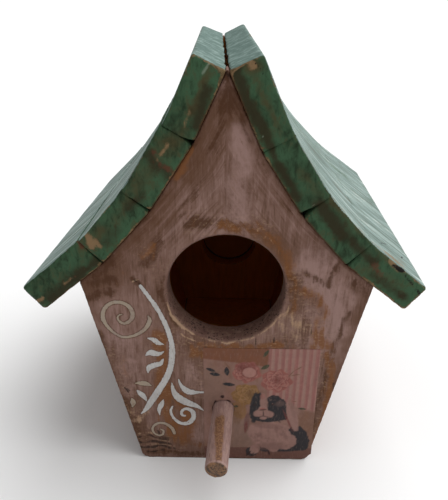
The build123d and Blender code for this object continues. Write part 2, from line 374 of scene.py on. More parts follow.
class Finish:
    def __init__(self, owner):
        # a new material by its name, or the world
        self.owner = bpy.data.materials.new(owner) if isinstance(owner, str) else owner
        self.owner.use_nodes = True
        self.tree = self.owner.node_tree
        self.shader = self.tree.nodes.get("Principled BSDF")

    def node(self, kind, settings, values, out=0):
        made = self.tree.nodes.new(kind)
        for name, value in settings.items():
            setattr(made, name, value)
        for key, value in values.items():
            if isinstance(value, Wire):
                self.tree.links.new(value.socket, made.inputs[key])
            else:
                made.inputs[key].default_value = value
        return Wire(self, made.outputs[out])

    def place(self, scale=(1, 1, 1)):
        # object coordinates in millimetres; a scale under 1 draws the pattern out that way
        raw = self.node("ShaderNodeTexCoord", {}, {}, out="Object")
        return self.stretch(raw, tuple(1000 * s for s in scale))

    def stretch(self, vector, scale):
        return self.node("ShaderNodeMapping", {"vector_type": "POINT"}, {"Vector": vector, "Scale": scale})

    def noise(self, vector, size, detail, roughness, distortion=0.0):
        # lumps about as far across as size
        values = {"Vector": vector, "Scale": 1 / size, "Detail": detail, "Roughness": roughness}
        values["Distortion"] = distortion
        return self.node("ShaderNodeTexNoise", {"noise_dimensions": "3D"}, values)

    def mask(self, name, out="Fac"):
        # what the mesh carries under this name
        return self.node("ShaderNodeAttribute", {"attribute_name": name}, {}, out=out)

    def mix(self, share, first, second):
        values = {0: share, 6: first, 7: second}
        for key in (6, 7):
            if isinstance(values[key], tuple):
                values[key] = values[key] + (1.0,)
        return self.node("ShaderNodeMix", {"data_type": "RGBA"}, values, out=2)

    def strokes(self, colour, ragged, look, edges):
        # lays each painted mask over the colour: how ragged, where it starts and is full, how strong
        for name, (rough, low, high, strength) in edges.items():
            share = (self.mask(name) + ragged * rough).step(low, high) * strength
            colour = self.mix(share, colour, look[name])
        return colour

    def bump(self, height, distance, strength):
        values = {"Strength": strength, "Distance": distance * mm, "Height": height}
        return self.node("ShaderNodeBump", {}, values)

    def end(self, colour, roughness, bump=None, metallic=0.0, **fixed):
        sockets = {"Base Color": colour, "Roughness": roughness, "Metallic": metallic, "Normal": bump}
        for key, value in sockets.items():
            if isinstance(value, Wire):
                self.tree.links.new(value.socket, self.shader.inputs[key])
            elif isinstance(value, tuple):
                self.shader.inputs[key].default_value = value + (1.0,)
            elif value is not None:
                self.shader.inputs[key].default_value = value
        for key, value in fixed.items():
            self.shader.inputs[key.replace("_", " ")].default_value = value
        return self.owner


# front board

frontBoard = {
    "voxel": 0.8,
    "mauve": (0.232, 0.136, 0.108),
    "mauveDark": (0.150, 0.080, 0.057),
    # the blush is partly a paler paint and partly painted light
    "blush": (0.34, 0.215, 0.19),
    "umber": (0.070, 0.028, 0.012),
    "ochre": (0.180, 0.070, 0.024),
    "cream": (0.40, 0.26, 0.165),
    "soot": (0.020, 0.012, 0.009),
    "glaze": (0.100, 0.044, 0.021),
    # the glaze is partly a dark glaze and partly painted shade under the roof
    "stencilWhite": (0.52, 0.505, 0.49),
    "stencilCream": (0.34, 0.27, 0.20),
    "stencilWorn": (0.30, 0.265, 0.245),
    # painted light: the inside colours are a stain made much brighter than such wood, standing in for light
    # inside the house
    "boreTint": (0.135, 0.072, 0.056),
    "inside": (0.66, 0.22, 0.040),
    "insideDark": (0.56, 0.18, 0.034),
    "entranceHeight": 94,
    "entranceRim": (25.3, 26.2),  # from the entrance's centre, where its bore paint ends
    "borePaintFrom": (64, 64.6),  # the bore paint lies this far and more in front of the house's middle
    "stainAndLightFrom": (11.4, 11.9),  # depth behind the face where the inside stain, brightened as painted light, starts
    "stencilArea": ((-55, 12.5), (-8, 99)),  # finer faces between these two corners, (x, z)
    "stencilHeight": 1.1,
    "paperGap": 0.01,  # the wood under the paper stays this far behind the face,
    "paperMargin": 3,  # from this far left of the paper
    "paperTop": 68,  # and up to this height
    "edges": {  # each stroke: how ragged, where it starts and is full, how strong
        "glaze": (0.5, 0.0, 0.9, 0.85),
        "blush": (0.6, 0.15, 0.75, 0.75),
        "umber": (1.0, 0.22, 0.78, 0.88),
        "ochre": (0.8, 0.2, 0.7, 0.9),
        "cream": (0.8, 0.25, 0.65, 0.85),
    },
}

# painted scroll: each line is (x, z, half width)
scroll = {
    "stem": [(-36.1, 95.6, 0.73), (-33.4, 91.2, 0.84), (-30.7, 86.8, 0.94), (-28.5, 82.3, 0.94),
             (-26.2, 76.5, 1.04), (-24.9, 71.8, 1.04), (-24.0, 67.0, 1.15), (-24.0, 62.1, 1.31),
             (-24.4, 57.2, 1.31), (-25.6, 52.1, 1.36), (-27.7, 46.9, 1.46), (-30.3, 42.3, 1.57),
             (-32.6, 38.3, 1.57), (-34.9, 34.2, 1.5), (-37.3, 30.1, 1.1), (-39.7, 27.3, 0.31)],
    "curlTop": [(-33.7, 81.0, 0.26), (-33.1, 78.7, 0.94), (-34.8, 75.2, 0.84), (-38.0, 72.2, 0.73),
                (-42.2, 70.3, 0.63), (-46.3, 70.3, 0.55), (-50.1, 73.2, 0.63), (-52.8, 77.3, 0.84),
                (-53.4, 80.7, 0.94), (-52.4, 84.2, 0.84), (-49.9, 86.8, 0.78), (-46.9, 87.7, 0.78),
                (-44.0, 87.2, 0.84), (-41.6, 85.5, 0.89), (-40.4, 82.7, 0.94), (-40.8, 79.8, 0.89),
                (-42.7, 77.7, 0.73), (-44.7, 77.1, 0.6), (-46.2, 78.0, 0.5), (-47.0, 79.7, 0.45),
                (-46.4, 81.1, 0.35), (-44.9, 81.7, 0.2)],
    "leafA": [(-34.6, 69.7, 0.21), (-32.1, 69.0, 1.04), (-30.1, 67.4, 1.15), (-27.6, 66.4, 0.16)],
    "leafB": [(-35.6, 60.7, 0.42), (-33.5, 62.0, 1.46), (-30.9, 61.4, 1.25), (-28.9, 61.8, 0.63),
              (-27.5, 63.0, 0.1)],
    "leafC": [(-35.4, 51.0, 0.21), (-34.7, 53.8, 1.25), (-32.3, 55.2, 1.36), (-29.6, 56.1, 1.15),
              (-28.0, 58.7, 0.21)],
    "petalA": [(-41.5, 45.0, 0.26), (-39.1, 45.1, 1.15), (-36.5, 44.8, 1.25), (-34.2, 43.7, 0.21)],
    "petalB": [(-41.0, 41.1, 0.21), (-39.5, 39.2, 1.25), (-38.0, 37.2, 1.15), (-36.9, 35.0, 0.26)],
    "petalC": [(-43.7, 36.1, 0.42), (-43.3, 34.0, 1.3), (-43.7, 31.3, 0.31)],
    "leafSmall": [(-29.0, 35.7, 0.21), (-29.9, 33.0, 1.15), (-31.1, 30.2, 1.04), (-31.1, 26.4, 0.21)],
    "leafLow": [(-24.7, 45.4, 0.26), (-23.9, 40.4, 1.15), (-21.4, 36.5, 1.83), (-17.2, 33.9, 1.67),
                (-13.4, 32.3, 1.04), (-10.3, 29.6, 0.16)],
    "leafHigh": [(-21.6, 47.7, 0.26), (-20.6, 44.5, 0.73), (-18.1, 41.2, 1.5), (-15.4, 40.3, 1.4),
                 (-12.8, 40.3, 0.73), (-9.8, 40.4, 0.42)],
    "curlLow": [(-24.7, 32.0, 0.31), (-25.7, 29.6, 0.63), (-25.4, 26.9, 0.63), (-23.7, 23.8, 0.73),
                (-21.0, 21.7, 0.84), (-18.0, 21.8, 1.04), (-15.7, 23.9, 1.15), (-14.9, 26.7, 1.04),
                (-15.6, 29.1, 1.04), (-17.8, 30.5, 0.84), (-19.7, 30.1, 0.7), (-20.8, 28.3, 0.65),
                (-20.3, 26.6, 0.55), (-19.1, 26.3, 0.45)],
    "curlFoot": [(-24.5, 15.6, 0.73), (-25.5, 18.5, 0.84), (-27.9, 20.9, 0.73), (-30.6, 21.9, 0.63),
                 (-33.4, 20.8, 0.63), (-34.9, 18.3, 0.55), (-34.2, 15.4, 0.52), (-32.1, 14.0, 0.52),
                 (-30.1, 14.8, 0.52), (-29.7, 16.9, 0.45), (-31.1, 18.0, 0.35)],
}
creamLines = ("curlTop", "petalA", "petalC", "curlFoot")
scrollAway = -3.0  # what the scroll's mask holds where there is none

# brushed and rubbed patches of the front: (line of x and z, half width, strength)
frontStrokes = {
    # dark glaze; the broad strokes along the gable are partly painted shade under the eaves
    "glaze": [
        ([(-26, 134), (-44, 112), (-60, 98)], 11, 0.95), ([(-50, 100), (-60, 95)], 9, 0.9),
        ([(-6, 170), (-20, 146), (-36, 124)], 10, 1.1), ([(4, 172), (16, 148), (30, 130)], 7, 0.8),
        ([(-14, 62), (0, 64), (30, 64)], 4, 0.6),
        ([(36, 124), (50, 110), (64, 96)], 6, 0.6), ([(-59, 92), (-52, 60), (-43, 16)], 4.5, 0.7),
        ([(60, 92), (53, 62), (43, 16)], 4.0, 0.75), ([(-40, 5), (0, 3), (40, 5)], 6, 0.65),
        ([(0, 182), (0, 166)], 7, 0.9), ([(-14, 156), (-24, 140)], 5, 0.6),
        ([(-30, 70), (-27, 40), (-24, 20)], 6, 0.55),
        ([(-26, 108), (-30, 92), (-22, 74)], 4, 0.5), ([(-16, 68), (0, 64), (24, 66)], 5, 0.6),
        ([(16, 119), (27, 105), (32, 94), (39, 87), (41, 70)], 6.5, 0.85),
        ([(-44, 34), (-42, 12), (-24, 10)], 7, 0.7),
        ([(10, 124), (26, 110)], 4, 0.5), ([(-36, 100), (-33, 84)], 3, 0.3),
    ],
    "umber": [
        # the strongest of these make the peak dark just under the ridge
        ([(-17, 125.5), (-6, 124.5), (6, 122.5)], 2.7, 0.95), ([(0, 188), (0, 174)], 6.5, 1.0),
        ([(-46, 108), (-58, 98)], 4.0, 0.8), ([(-36, 122), (-30, 126)], 2.2, 0.7),
        ([(-50, 30), (-47, 18)], 2.4, 0.8),
        ([(-26.9, 98.6), (-26.4, 91), (-24.1, 83.1), (-20.8, 78.2)], 1.9, 1.0),
        ([(26.8, 101), (28.6, 94), (27.8, 85)], 2.8, 1.0), ([(33, 103.5), (42, 97.5)], 2.0, 0.7),
        ([(10, 121), (20, 115), (26, 106)], 1.6, 0.7), ([(31, 94), (38, 90), (41, 83)], 1.4, 0.6),
        ([(-58, 96.5), (-48, 98)], 2.8, 1.0), ([(-58, 90.5), (-49, 92.8)], 2.6, 1.0),
        ([(-60, 101), (-50, 104)], 2.0, 0.6),
        ([(-56, 70), (-54, 58), (-51.3, 45)], 2.6, 0.85), ([(-49.5, 38), (-45.5, 26), (-42, 11)], 2.6, 0.9),
        ([(-33.2, 106.5), (-30, 112), (-27, 116)], 2.6, 1.0), ([(-38.8, 98.8), (-35.6, 95.8)], 1.6, 1.0),
        ([(-17, 152.9), (-21, 147.5), (-25.8, 141.9)], 2.4, 0.9),
        ([(46.5, 107.9), (44.7, 101.4), (43.8, 96.7)], 1.6, 0.95),
        ([(54, 98), (61, 92)], 3.2, 0.9), ([(56, 90), (60, 84)], 2.0, 0.6),
        ([(-18.4, 131), (-13.6, 135.6), (-8.8, 142.1)], 2.2, 0.55),
        ([(-4.6, 153.8), (-2, 168.6), (-0.6, 179)], 2.2, 0.75), ([(1, 184), (-1, 170)], 3.0, 1.0),
        ([(3.8, 173.9), (6.9, 161.4), (13.3, 148.2)], 2.0, 0.7),
        ([(13, 149), (24, 132), (36, 118)], 1.6, 0.5), ([(-10, 160), (-22, 141), (-36, 124)], 1.6, 0.55),
        ([(-38, 122), (-50, 110), (-61, 101)], 2.0, 0.65), ([(36, 119), (50, 106), (62, 96)], 1.8, 0.65),
        ([(52, 84), (47, 62), (42, 34), (39, 8)], 1.8, 0.8),
        ([(-38, 4), (-10, 2.5), (10, 2.5), (38, 3)], 1.8, 0.8),
        ([(-20, 12), (-8, 8), (4, 9)], 4.0, 0.5), ([(30, 78), (36, 72)], 2.4, 0.45),
        ([(-44, 24), (-40, 10)], 3.0, 0.6),
    ],
    "ochre": [
        ([(-2, 123), (8, 122), (16.7, 118), (23.5, 111), (27.2, 103)], 3.0, 0.7),
        ([(29.8, 95.6), (36.3, 91.4), (41.5, 84.6), (40.2, 73), (39.4, 66.5)], 3.2, 0.75),
        ([(27.5, 101), (29.5, 93), (28, 84)], 2.6, 0.7),
        ([(-28.5, 70.5), (-27.6, 62.5), (-28.4, 51.6), (-31, 40.2)], 4.4, 1.0),
        ([(-26.7, 42), (-26, 24), (-23.5, 15)], 4.4, 1.0), ([(-22.5, 38), (-18, 25), (-20, 12)], 4.6, 1.0),
        ([(-34, 110), (-30, 114)], 1.8, 0.9), ([(-46, 60), (-44, 46)], 2.2, 0.5),
        ([(-12, 66.6), (6, 65.7), (25, 66.6)], 1.9, 0.9), ([(-13.7, 63.7), (-7.9, 59.6)], 3.0, 0.9),
        ([(45.5, 62), (48.0, 50), (46.6, 30), (43, 10)], 1.9, 0.8),
        ([(-14.7, 153.7), (-16.8, 147.9), (-19.6, 143.6)], 1.8, 1.0),
        ([(-10, 56), (-5.5, 40)], 1.6, 0.4), ([(-31, 108), (-29, 113)], 0.9, 0.7),
        ([(43, 70), (46, 66)], 2.6, 0.9), ([(-40, 96), (-44, 104)], 2.4, 0.3),
        ([(-20, 10), (0, 6)], 2.6, 0.5),
    ],
    "cream": [
        ([(-23.8, 82.9), (-18.6, 75.4), (-11.1, 70.2), (0, 67.7), (11.1, 70.2), (18.6, 75.4), (23.8, 82.9)],
         0.8, 0.85),
        ([(-25.4, 88), (-22.5, 80)], 0.6, 0.8), ([(27, 82), (33, 77), (34, 72)], 4.0, 0.5),
        ([(24, 76), (30, 72)], 3.0, 0.55),
        ([(-43, 14.2), (-36.4, 15.8), (-27, 13)], 0.7, 0.6),
        ([(-41, 10.9), (-34, 12.2), (-26, 10)], 0.6, 0.55),
        ([(-40.5, 8), (-31.8, 9.2), (-25, 7.4)], 0.6, 0.5), ([(-46, 22), (-40, 24), (-36, 30)], 2.0, 0.7),
        ([(-19.7, 72.1), (-16.7, 69.5), (-13.2, 68.5)], 0.45, 0.9),
        ([(-18.5, 73.3), (-15.5, 71)], 0.35, 0.6),
        ([(9.3, 123.3), (17.5, 117.3), (22.7, 109.4)], 0.5, 0.45), ([(-43, 27), (-38, 20)], 3.2, 0.45),
        ([(-39.5, 97.5), (-36.5, 98.5)], 0.5, 0.8), ([(20, 78), (25, 82), (27, 88)], 1.0, 0.55),
        ([(12, 146), (24, 128)], 0.5, 0.3), ([(9, 140), (19, 124)], 0.5, 0.3),
    ],
    # paler patches right of the middle, low on the left and along the foot: partly paler paint, partly
    # painted light where the light falls
    "blush": [
        ([(3.2, 140), (5.3, 128)], 6.0, 0.7), ([(36, 106), (44, 88), (42, 70)], 9.0, 0.95),
        ([(-50, 76), (-45, 44)], 7.5, 0.55), ([(39.8, 92), (49.6, 76)], 5.0, 0.85),
        ([(-12, 14), (0, 10)], 6, 0.6),
        ([(4.8, 160), (6.4, 146)], 4.5, 0.8), ([(-50, 84), (-45, 66)], 4.5, 0.55),
        ([(-42.6, 66), (-41.6, 46)], 4.5, 0.7), ([(-16.2, 53), (-11.8, 42)], 3.5, 0.6),
        ([(42, 102), (52, 90)], 4.5, 0.7), ([(-40, 110), (-34, 90)], 4.0, 0.4),
    ],
    "grit": [
        ([(-26, 72), (-12, 64), (4, 62), (30, 66)], 6, 0.9), ([(-42, 12), (-28, 8)], 7, 0.9),
        ([(-52, 62), (-45, 26)], 5, 0.8), ([(28, 100), (34, 84), (42, 68)], 6, 0.7),
        ([(-12, 124), (14, 122)], 5, 0.7),
        ([(-32, 66), (-28, 30)], 4, 0.6), ([(-14, 62), (-10, 40)], 5, 0.7), ([(44, 60), (42, 10)], 4, 0.8),
        ([(-34, 112), (-26, 100)], 4, 0.5),
    ],
    "soot": [
        ([(-43, 12), (-36.4, 13.8), (-27, 11)], 0.8, 0.75), ([(-41, 9), (-34, 10.5), (-26, 8.5)], 0.7, 0.8),
        ([(-40.5, 6.4), (-31.8, 7.6), (-25, 6)], 0.8, 0.8), ([(-39, 4), (-30, 4.5)], 0.7, 0.7),
        ([(-32, 17), (-30.5, 14), (-27, 12.5)], 1.2, 0.7),
        ([(13.2, 70.5), (13.4, 63.5)], 0.3, 0.9), ([(27.3, 69.9), (27.5, 66)], 0.3, 0.9),
        ([(21, 72), (21.3, 68)], 0.25, 0.7), ([(31.1, 99.9), (31.6, 98.3)], 0.45, 0.8),
        ([(-38.2, 98.1), (-36, 96.3)], 0.75, 0.9), ([(37, 76), (37.4, 71)], 0.25, 0.7),
        ([(46, 58), (46.4, 52)], 0.3, 0.6), ([(49.5, 47), (49.7, 44)], 0.6, 0.7),
        ([(-46.5, 42.5), (-45, 40)], 0.4, 0.9), ([(-45.4, 42), (-44.3, 40.8)], 0.3, 0.8),
        ([(-7, 175), (-1, 182), (5, 176)], 1.2, 0.6),
    ],
}


# the underside of the roof along each side of the gable, (x, z)
gableLines = [
    [(0, 182.5), (-16, 153.5), (-35, 131), (-56, 110), (-77, 85)],
    [(0, 182.5), (17, 149), (35, 126.5), (55, 107), (75, 86)],
]


def makeFrontBoard():
    look = frontBoard
    piece, points, _, _ = carveWood("front_board", "front_board_wood", look["voxel"], wave=0.08)
    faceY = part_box("front_board")[0][1] / mm
    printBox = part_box("paper_print")
    # nothing of the board stands in front of the paper
    under = (points[:, 1] < faceY + 1) & (points[:, 0] > printBox[0][0] / mm - look["paperMargin"])
    under &= points[:, 2] < look["paperTop"]
    points[under, 1] = np.maximum(points[under, 1], faceY + look["paperGap"])
    writePoints(piece, points)
    # finer faces where the scroll is painted
    middles = readFaces(piece, "center") / mm
    low, high = look["stencilArea"]
    area = (middles[:, 1] < faceY + 0.5) & (middles[:, 0] > low[0]) & (middles[:, 0] < high[0])
    area &= (middles[:, 2] > low[1]) & (middles[:, 2] < high[1])
    editFaces(piece, area)
    bpy.ops.mesh.subdivide(number_cuts=1)
    bpy.ops.object.mode_set(mode="OBJECT")
    points = readPoints(piece)
    flat = points[:, [0, 2]]
    isFront = fade(points[:, 1], faceY + 0.9, faceY + 2.2)
    # how deep each point lies inside the painted scroll, and whether the cream or the white is on top there
    paint = np.full(len(flat), scrollAway)
    creamy = np.zeros(len(flat))
    for name, line in scroll.items():
        curve = smoothLine(line)
        halves = np.array([p[2] for p in curve])
        gap, along = lineReach(flat, [p[:2] for p in curve])
        depth = np.interp(along, np.arange(len(halves)), halves) - gap
        creamy[depth > paint] = name in creamLines
        paint = np.maximum(paint, depth)
    # brushwork under the gable runs along the roof: the gap from it, and a length that grows down each side
    gap, along = np.full(len(flat), 1e9), np.zeros(len(flat))
    for line in gableLines:
        reach, share = lineReach(flat, line)
        closer = reach < gap
        gap[closer], along[closer] = reach[closer], share[closer] * 28
    addVectorMask(piece, "gable", deepen(np.stack([gap, along + 300 * (flat[:, 0] > 0)], axis=1)))
    addMask(piece, "underRoof", ease(flat[:, 1] + 0.25 * np.abs(flat[:, 0]), 108, 132))
    addMask(piece, "scroll", np.where(isFront > 0.5, paint - 0.12, scrollAway))
    addMask(piece, "scrollCream", creamy)
    for name, strokes in frontStrokes.items():
        addMask(piece, name, brushMask(flat, strokes) * isFront)
    entrance = np.hypot(points[:, 0], points[:, 2] - look["entranceHeight"])
    addMask(piece, "bore", fade(entrance, *look["entranceRim"]) * ease(-points[:, 1], *look["borePaintFrom"]))
    addMask(piece, "inside", ease(points[:, 1], *(faceY + depth for depth in look["stainAndLightFrom"])))
    return piece


def mauvePaint(name, strokes=True):
    # brushed mauve over brown wood, rubbed through on the arrises
    look = frontBoard
    finish = Finish(name)
    here = finish.place()
    upright = finish.place(scale=(1, 1, 0.12))
    across = finish.noise(finish.place(scale=(0.3, 0.3, 1.0)), 0.9, 3, 0.6, 0.3)
    cloudy = finish.noise(here, 26, 4, 0.6)
    brushed = finish.noise(upright, 2.2, 4, 0.65, 0.3)
    fine = finish.noise(upright, 0.7, 3, 0.6)
    patchy = finish.noise(here, 6, 5, 0.65, 0.4)
    speck = finish.noise(here, 1.1, 3, 0.6)
    # the coat itself: thick and thin, with paler and darker brushwork
    coat = (cloudy * 0.6 + brushed * 0.25 + patchy * 0.15).step(0.36, 0.62)
    colour = finish.mix(coat, look["mauveDark"], look["mauve"])
    colour = finish.mix((patchy * 0.5 + cloudy * 0.5).step(0.48, 0.68) * 0.4, colour, look["blush"])
    colour = finish.mix((brushed * 0.5 + fine * 0.5).step(0.50, 0.62) * 0.42, colour, look["blush"])
    colour = finish.mix((brushed * 0.5 + fine * 0.5).fall(0.36, 0.48) * 0.5, colour, look["umber"])
    colour = finish.mix((brushed * 0.5 + cloudy * 0.5).step(0.58, 0.70) * 0.5, colour, look["glaze"])
    colour = finish.mix((fine * 0.5 + patchy * 0.5).step(0.62, 0.72) * 0.5, colour, look["ochre"])
    colour = finish.mix((speck * 0.6 + patchy * 0.5).step(0.70, 0.76) * 0.6, colour, look["umber"])
    if strokes:
        # painted and rubbed patches, ragged along the brushwork
        gable = finish.mask("gable", "Vector")
        sweep = finish.noise(finish.stretch(gable, (1, 0.07, 1)), 2.4, 4, 0.65, 0.3)
        under = finish.mask("underRoof")
        # close under the roof the darker brushwork is partly glaze and partly painted shade
        colour = finish.mix(sweep.step(0.50, 0.66) * under * 0.55, colour, look["glaze"])
        colour = finish.mix(sweep.fall(0.34, 0.47) * under * 0.35, colour, look["blush"])
        brushed = brushed + under * (sweep - brushed)
        ragged = (patchy - 0.5) * 0.9 + (brushed - 0.5) * 1.7 + (speck - 0.5) * 0.5
        # the blush strokes are partly painted light
        colour = finish.strokes(colour, ragged, look, look["edges"])
        grit = finish.mask("grit")
        scratched = across * 0.5 + speck * 0.5
        colour = finish.mix(grit * scratched.step(0.52, 0.62) * 0.6, colour, look["cream"])
        colour = finish.mix(grit * scratched.fall(0.36, 0.46) * 0.75, colour, look["umber"])
        colour = finish.mix(grit * (fine * 0.5 + patchy * 0.5).step(0.54, 0.66) * 0.6, colour, look["ochre"])
        colour = finish.mix((finish.mask("soot") + ragged * 0.6).step(0.25, 0.6) * 0.85, colour, look["soot"])
    # rubbed through on the arrises, and darker in the hollows
    rubbed = (finish.mask("arris") + (patchy - 0.5) * 1.8 + (cloudy - 0.5) * 2.2).step(0.85, 1.25)
    worn = finish.mix(speck.step(0.45, 0.7) * 0.7, look["umber"], look["ochre"])
    colour = finish.mix(rubbed * 0.8, colour, worn)
    colour = finish.mix(finish.mask("hollow") * 0.6, colour, look["soot"])
    height = brushed * 0.6 + fine * 0.4 + patchy * 0.3 - rubbed * 0.6
    noises = {"patchy": patchy, "speck": speck, "brushed": brushed, "cloudy": cloudy, "fine": fine,
              "across": across}
    return finish, colour, rubbed, height, noises


# painted light: the inside gets a stain far brighter than the wood, standing in for the light that reaches it
def stainAndLightInside(finish, colour, noises):
    insideWood = finish.mix(noises["brushed"].step(0.35, 0.7), frontBoard["inside"], frontBoard["insideDark"])
    return finish.mix(finish.mask("inside"), colour, insideWood)


def paintFrontBoard(piece):
    look = frontBoard
    finish, colour, _, height, noises = mauvePaint("front_paint_look")
    # the stencilled scroll, with a dark rim round its edge: painted shadow of the raised paint, and some
    # paint build-up
    line = finish.mask("scroll")
    ragged = line + (noises["speck"] - 0.5) * 0.9 + (noises["patchy"] - 0.5) * 0.5
    shape = ragged.step(-0.26, 0.0) * (noises["fine"] * 0.6 + noises["speck"] * 0.4).step(0.30, 0.42)
    thin = finish.mask("scrollCream") * noises["patchy"].step(0.48, 0.75)
    white = finish.mix(finish.mask("scrollCream"), look["stencilWhite"], look["stencilCream"])
    worn = (noises["patchy"] * 0.5 + noises["fine"] * 0.5).step(0.42, 0.62)
    white = finish.mix(worn * 0.4, white, look["stencilWorn"])
    # painted shadow: a dark rim just outside the scroll's edge, stronger round the cream lines
    rim = ragged.step(-0.75, -0.1) * ragged.fall(-0.1, 0.2)
    colour = finish.mix(rim * (0.5 + finish.mask("scrollCream") * 0.4), colour, look["umber"])
    colour = finish.mix(shape * (1 - thin * 0.8), colour, white)
    # the entrance's bore, and the stain behind the board, brightened as painted light
    borePaint = finish.mix(noises["patchy"].step(0.42, 0.62) * 0.45, look["boreTint"], look["mauve"])
    borePaint = finish.mix(noises["across"].step(0.54, 0.66) * 0.2, borePaint, look["cream"])
    pits = (noises["speck"] * 0.7 + noises["patchy"] * 0.3).step(0.545, 0.60)
    borePaint = finish.mix(pits * 0.85, borePaint, look["soot"])
    colour = finish.mix(finish.mask("bore"), colour, borePaint)
    colour = stainAndLightInside(finish, colour, noises)
    height = height + shape * look["stencilHeight"]
    roughness = 0.62 + noises["patchy"] * 0.2 - shape * 0.1
    bump = finish.bump(height, 0.16, 0.8)
    piece.data.materials.append(finish.end(colour, roughness, bump, Specular_IOR_Level=0.16))


frontPiece = makeFrontBoard()
paintFrontBoard(frontPiece)
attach(frontPiece, "house")
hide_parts("front_board")
print("front board:", len(frontPiece.data.polygons), "faces")


# back board, side walls and floor

boxWood = {
    "voxel": {"back": 0.95, "wall": 1.05, "floor": 1.3},
    "raw": (0.33, 0.20, 0.11),
    "rawDark": (0.17, 0.09, 0.045),
    "backInner": (64.1, 64.6),  # y where the stain on the back board's inner face, brightened as painted light, ends
    "cleanoutStainAndLight": (71, 74),  # y where the stain in the clean-out hole, brightened as painted light, ends
    "cleanoutWidth": (20, 20.5),  # the hole lies within this much of the middle, and between these heights
    "cleanoutHeight": (25, 95),
}


def insideOf(points, normals, kind):
    if kind == "back":
        # the inner face, and the inner half of the clean-out hole, whose shaded bore gets the bright stain as
        # painted light
        low, high = boxWood["cleanoutHeight"]
        bore = fade(np.abs(normals[:, 1]), 0.6, 0.8) * fade(np.abs(points[:, 0]), *boxWood["cleanoutWidth"])
        bore *= (points[:, 2] > low) & (points[:, 2] < high)
        bore *= fade(points[:, 1], *boxWood["cleanoutStainAndLight"])
        return np.maximum(fade(points[:, 1], *boxWood["backInner"]), bore)
    if kind == "floor":
        return ease(normals[:, 2], 0.5, 0.9)
    return ease(-normals[:, 0] * np.sign(points[:, 0]), 0.5, 0.9)


def makeBoxPiece(nodeName, kind):
    piece, points, normals, _ = carveWood(nodeName, nodeName + "_wood", boxWood["voxel"][kind])
    addMask(piece, "inside", insideOf(points, normals, kind))
    finish, colour, _, height, noises = mauvePaint(nodeName + "_look", strokes=False)
    scuffs = (noises["cloudy"] + noises["patchy"] * 0.6).step(0.9, 1.12)
    colour = finish.mix(scuffs * 0.6, colour, frontBoard["ochre"])
    colour = stainAndLightInside(finish, colour, noises)
    if kind == "floor":
        rawWood = finish.mix(noises["brushed"].step(0.3, 0.7), boxWood["rawDark"], boxWood["raw"])
        colour = finish.mix(1 - finish.mask("inside"), colour, rawWood)
    bump = finish.bump(height, 0.16, 0.8)
    roughness = 0.64 + noises["patchy"] * 0.2
    piece.data.materials.append(finish.end(colour, roughness, bump, Specular_IOR_Level=0.16))
    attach(piece, "house")
    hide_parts(nodeName)


makeBoxPiece("back_board", "back")
makeBoxPiece("left_wall", "wall")
makeBoxPiece("right_wall", "wall")
makeBoxPiece("floor_board", "floor")
print("box boards done")


# roof slats

roof = {
    "voxel": 0.85,
    "green": (0.041, 0.092, 0.046),
    "greenDark": (0.015, 0.028, 0.012),
    "aqua": (0.120, 0.180, 0.160),
    # the pale top colours are partly paint and partly painted sheen, the sky's reflection on the up-facing
    # tops
    "aquaPaleAndSheen": (0.315, 0.40, 0.37),
    "olive": (0.060, 0.046, 0.018),
    "tan": (0.22, 0.135, 0.068),
    "umber": (0.026, 0.019, 0.007),
    "crown": (0.098, 0.160, 0.140),
    "crownPaleAndSheen": (0.27, 0.36, 0.33),
    "red": (0.095, 0.035, 0.018),
    "black": (0.010, 0.008, 0.006),
    "under": (0.10, 0.032, 0.012),
    "pale": (0.20, 0.24, 0.18),
    "topRubbedAndSheen": (0.56, 0.60, 0.57),
    "topStained": (0.12, 0.105, 0.072),
    "thickness": 13.5,
    "ridgeHeight": 190,
    "endWave": 0.22,  # hand-cut ends are never quite flat
    "edges": {  # each stain on the ends: how ragged, where it starts and is full, how strong
        "olive": (0.8, 0.0, 0.8, 0.85),
        "umber": (0.6, 0.05, 0.65, 0.9),
        "red": (1.0, 0.25, 0.7, 0.85),
        "tan": (1.0, 0.25, 0.7, 0.9),
        "pale": (0.4, 0.3, 0.6, 0.6),
    },
    # depth of each joint's opening from the underside, how much of a line shows past it at the front,
    # and how far filler closes the opening from each side
    "leftJoints": ((4.5, 0.9, 0), (9.5, 0.35, 0), (9.5, 0.7, 0)),
    "rightJoints": ((5.0, 0.0, 0.45), (7.5, 0.45, 0), (6.0, 0.1, 0)),
    "meet": 0.25,  # the closed part of a joint presses this far into its neighbour
    "bend": 8,  # the tops run into each other over this length
    "bendLift": 0.35,  # and rise by this much at the joint
    # how far each slat's top stands out at its upper and lower joint, from the ridge down
    "leftRise": ((0.0, -0.3), (0.6, 0.0), (0.0, -0.2), (0.45, 0.0)),
    "rightRise": ((0.0, 0.0), (0.0, 0.0), (0.0, 0.0), (0.0, 0.0)),
}

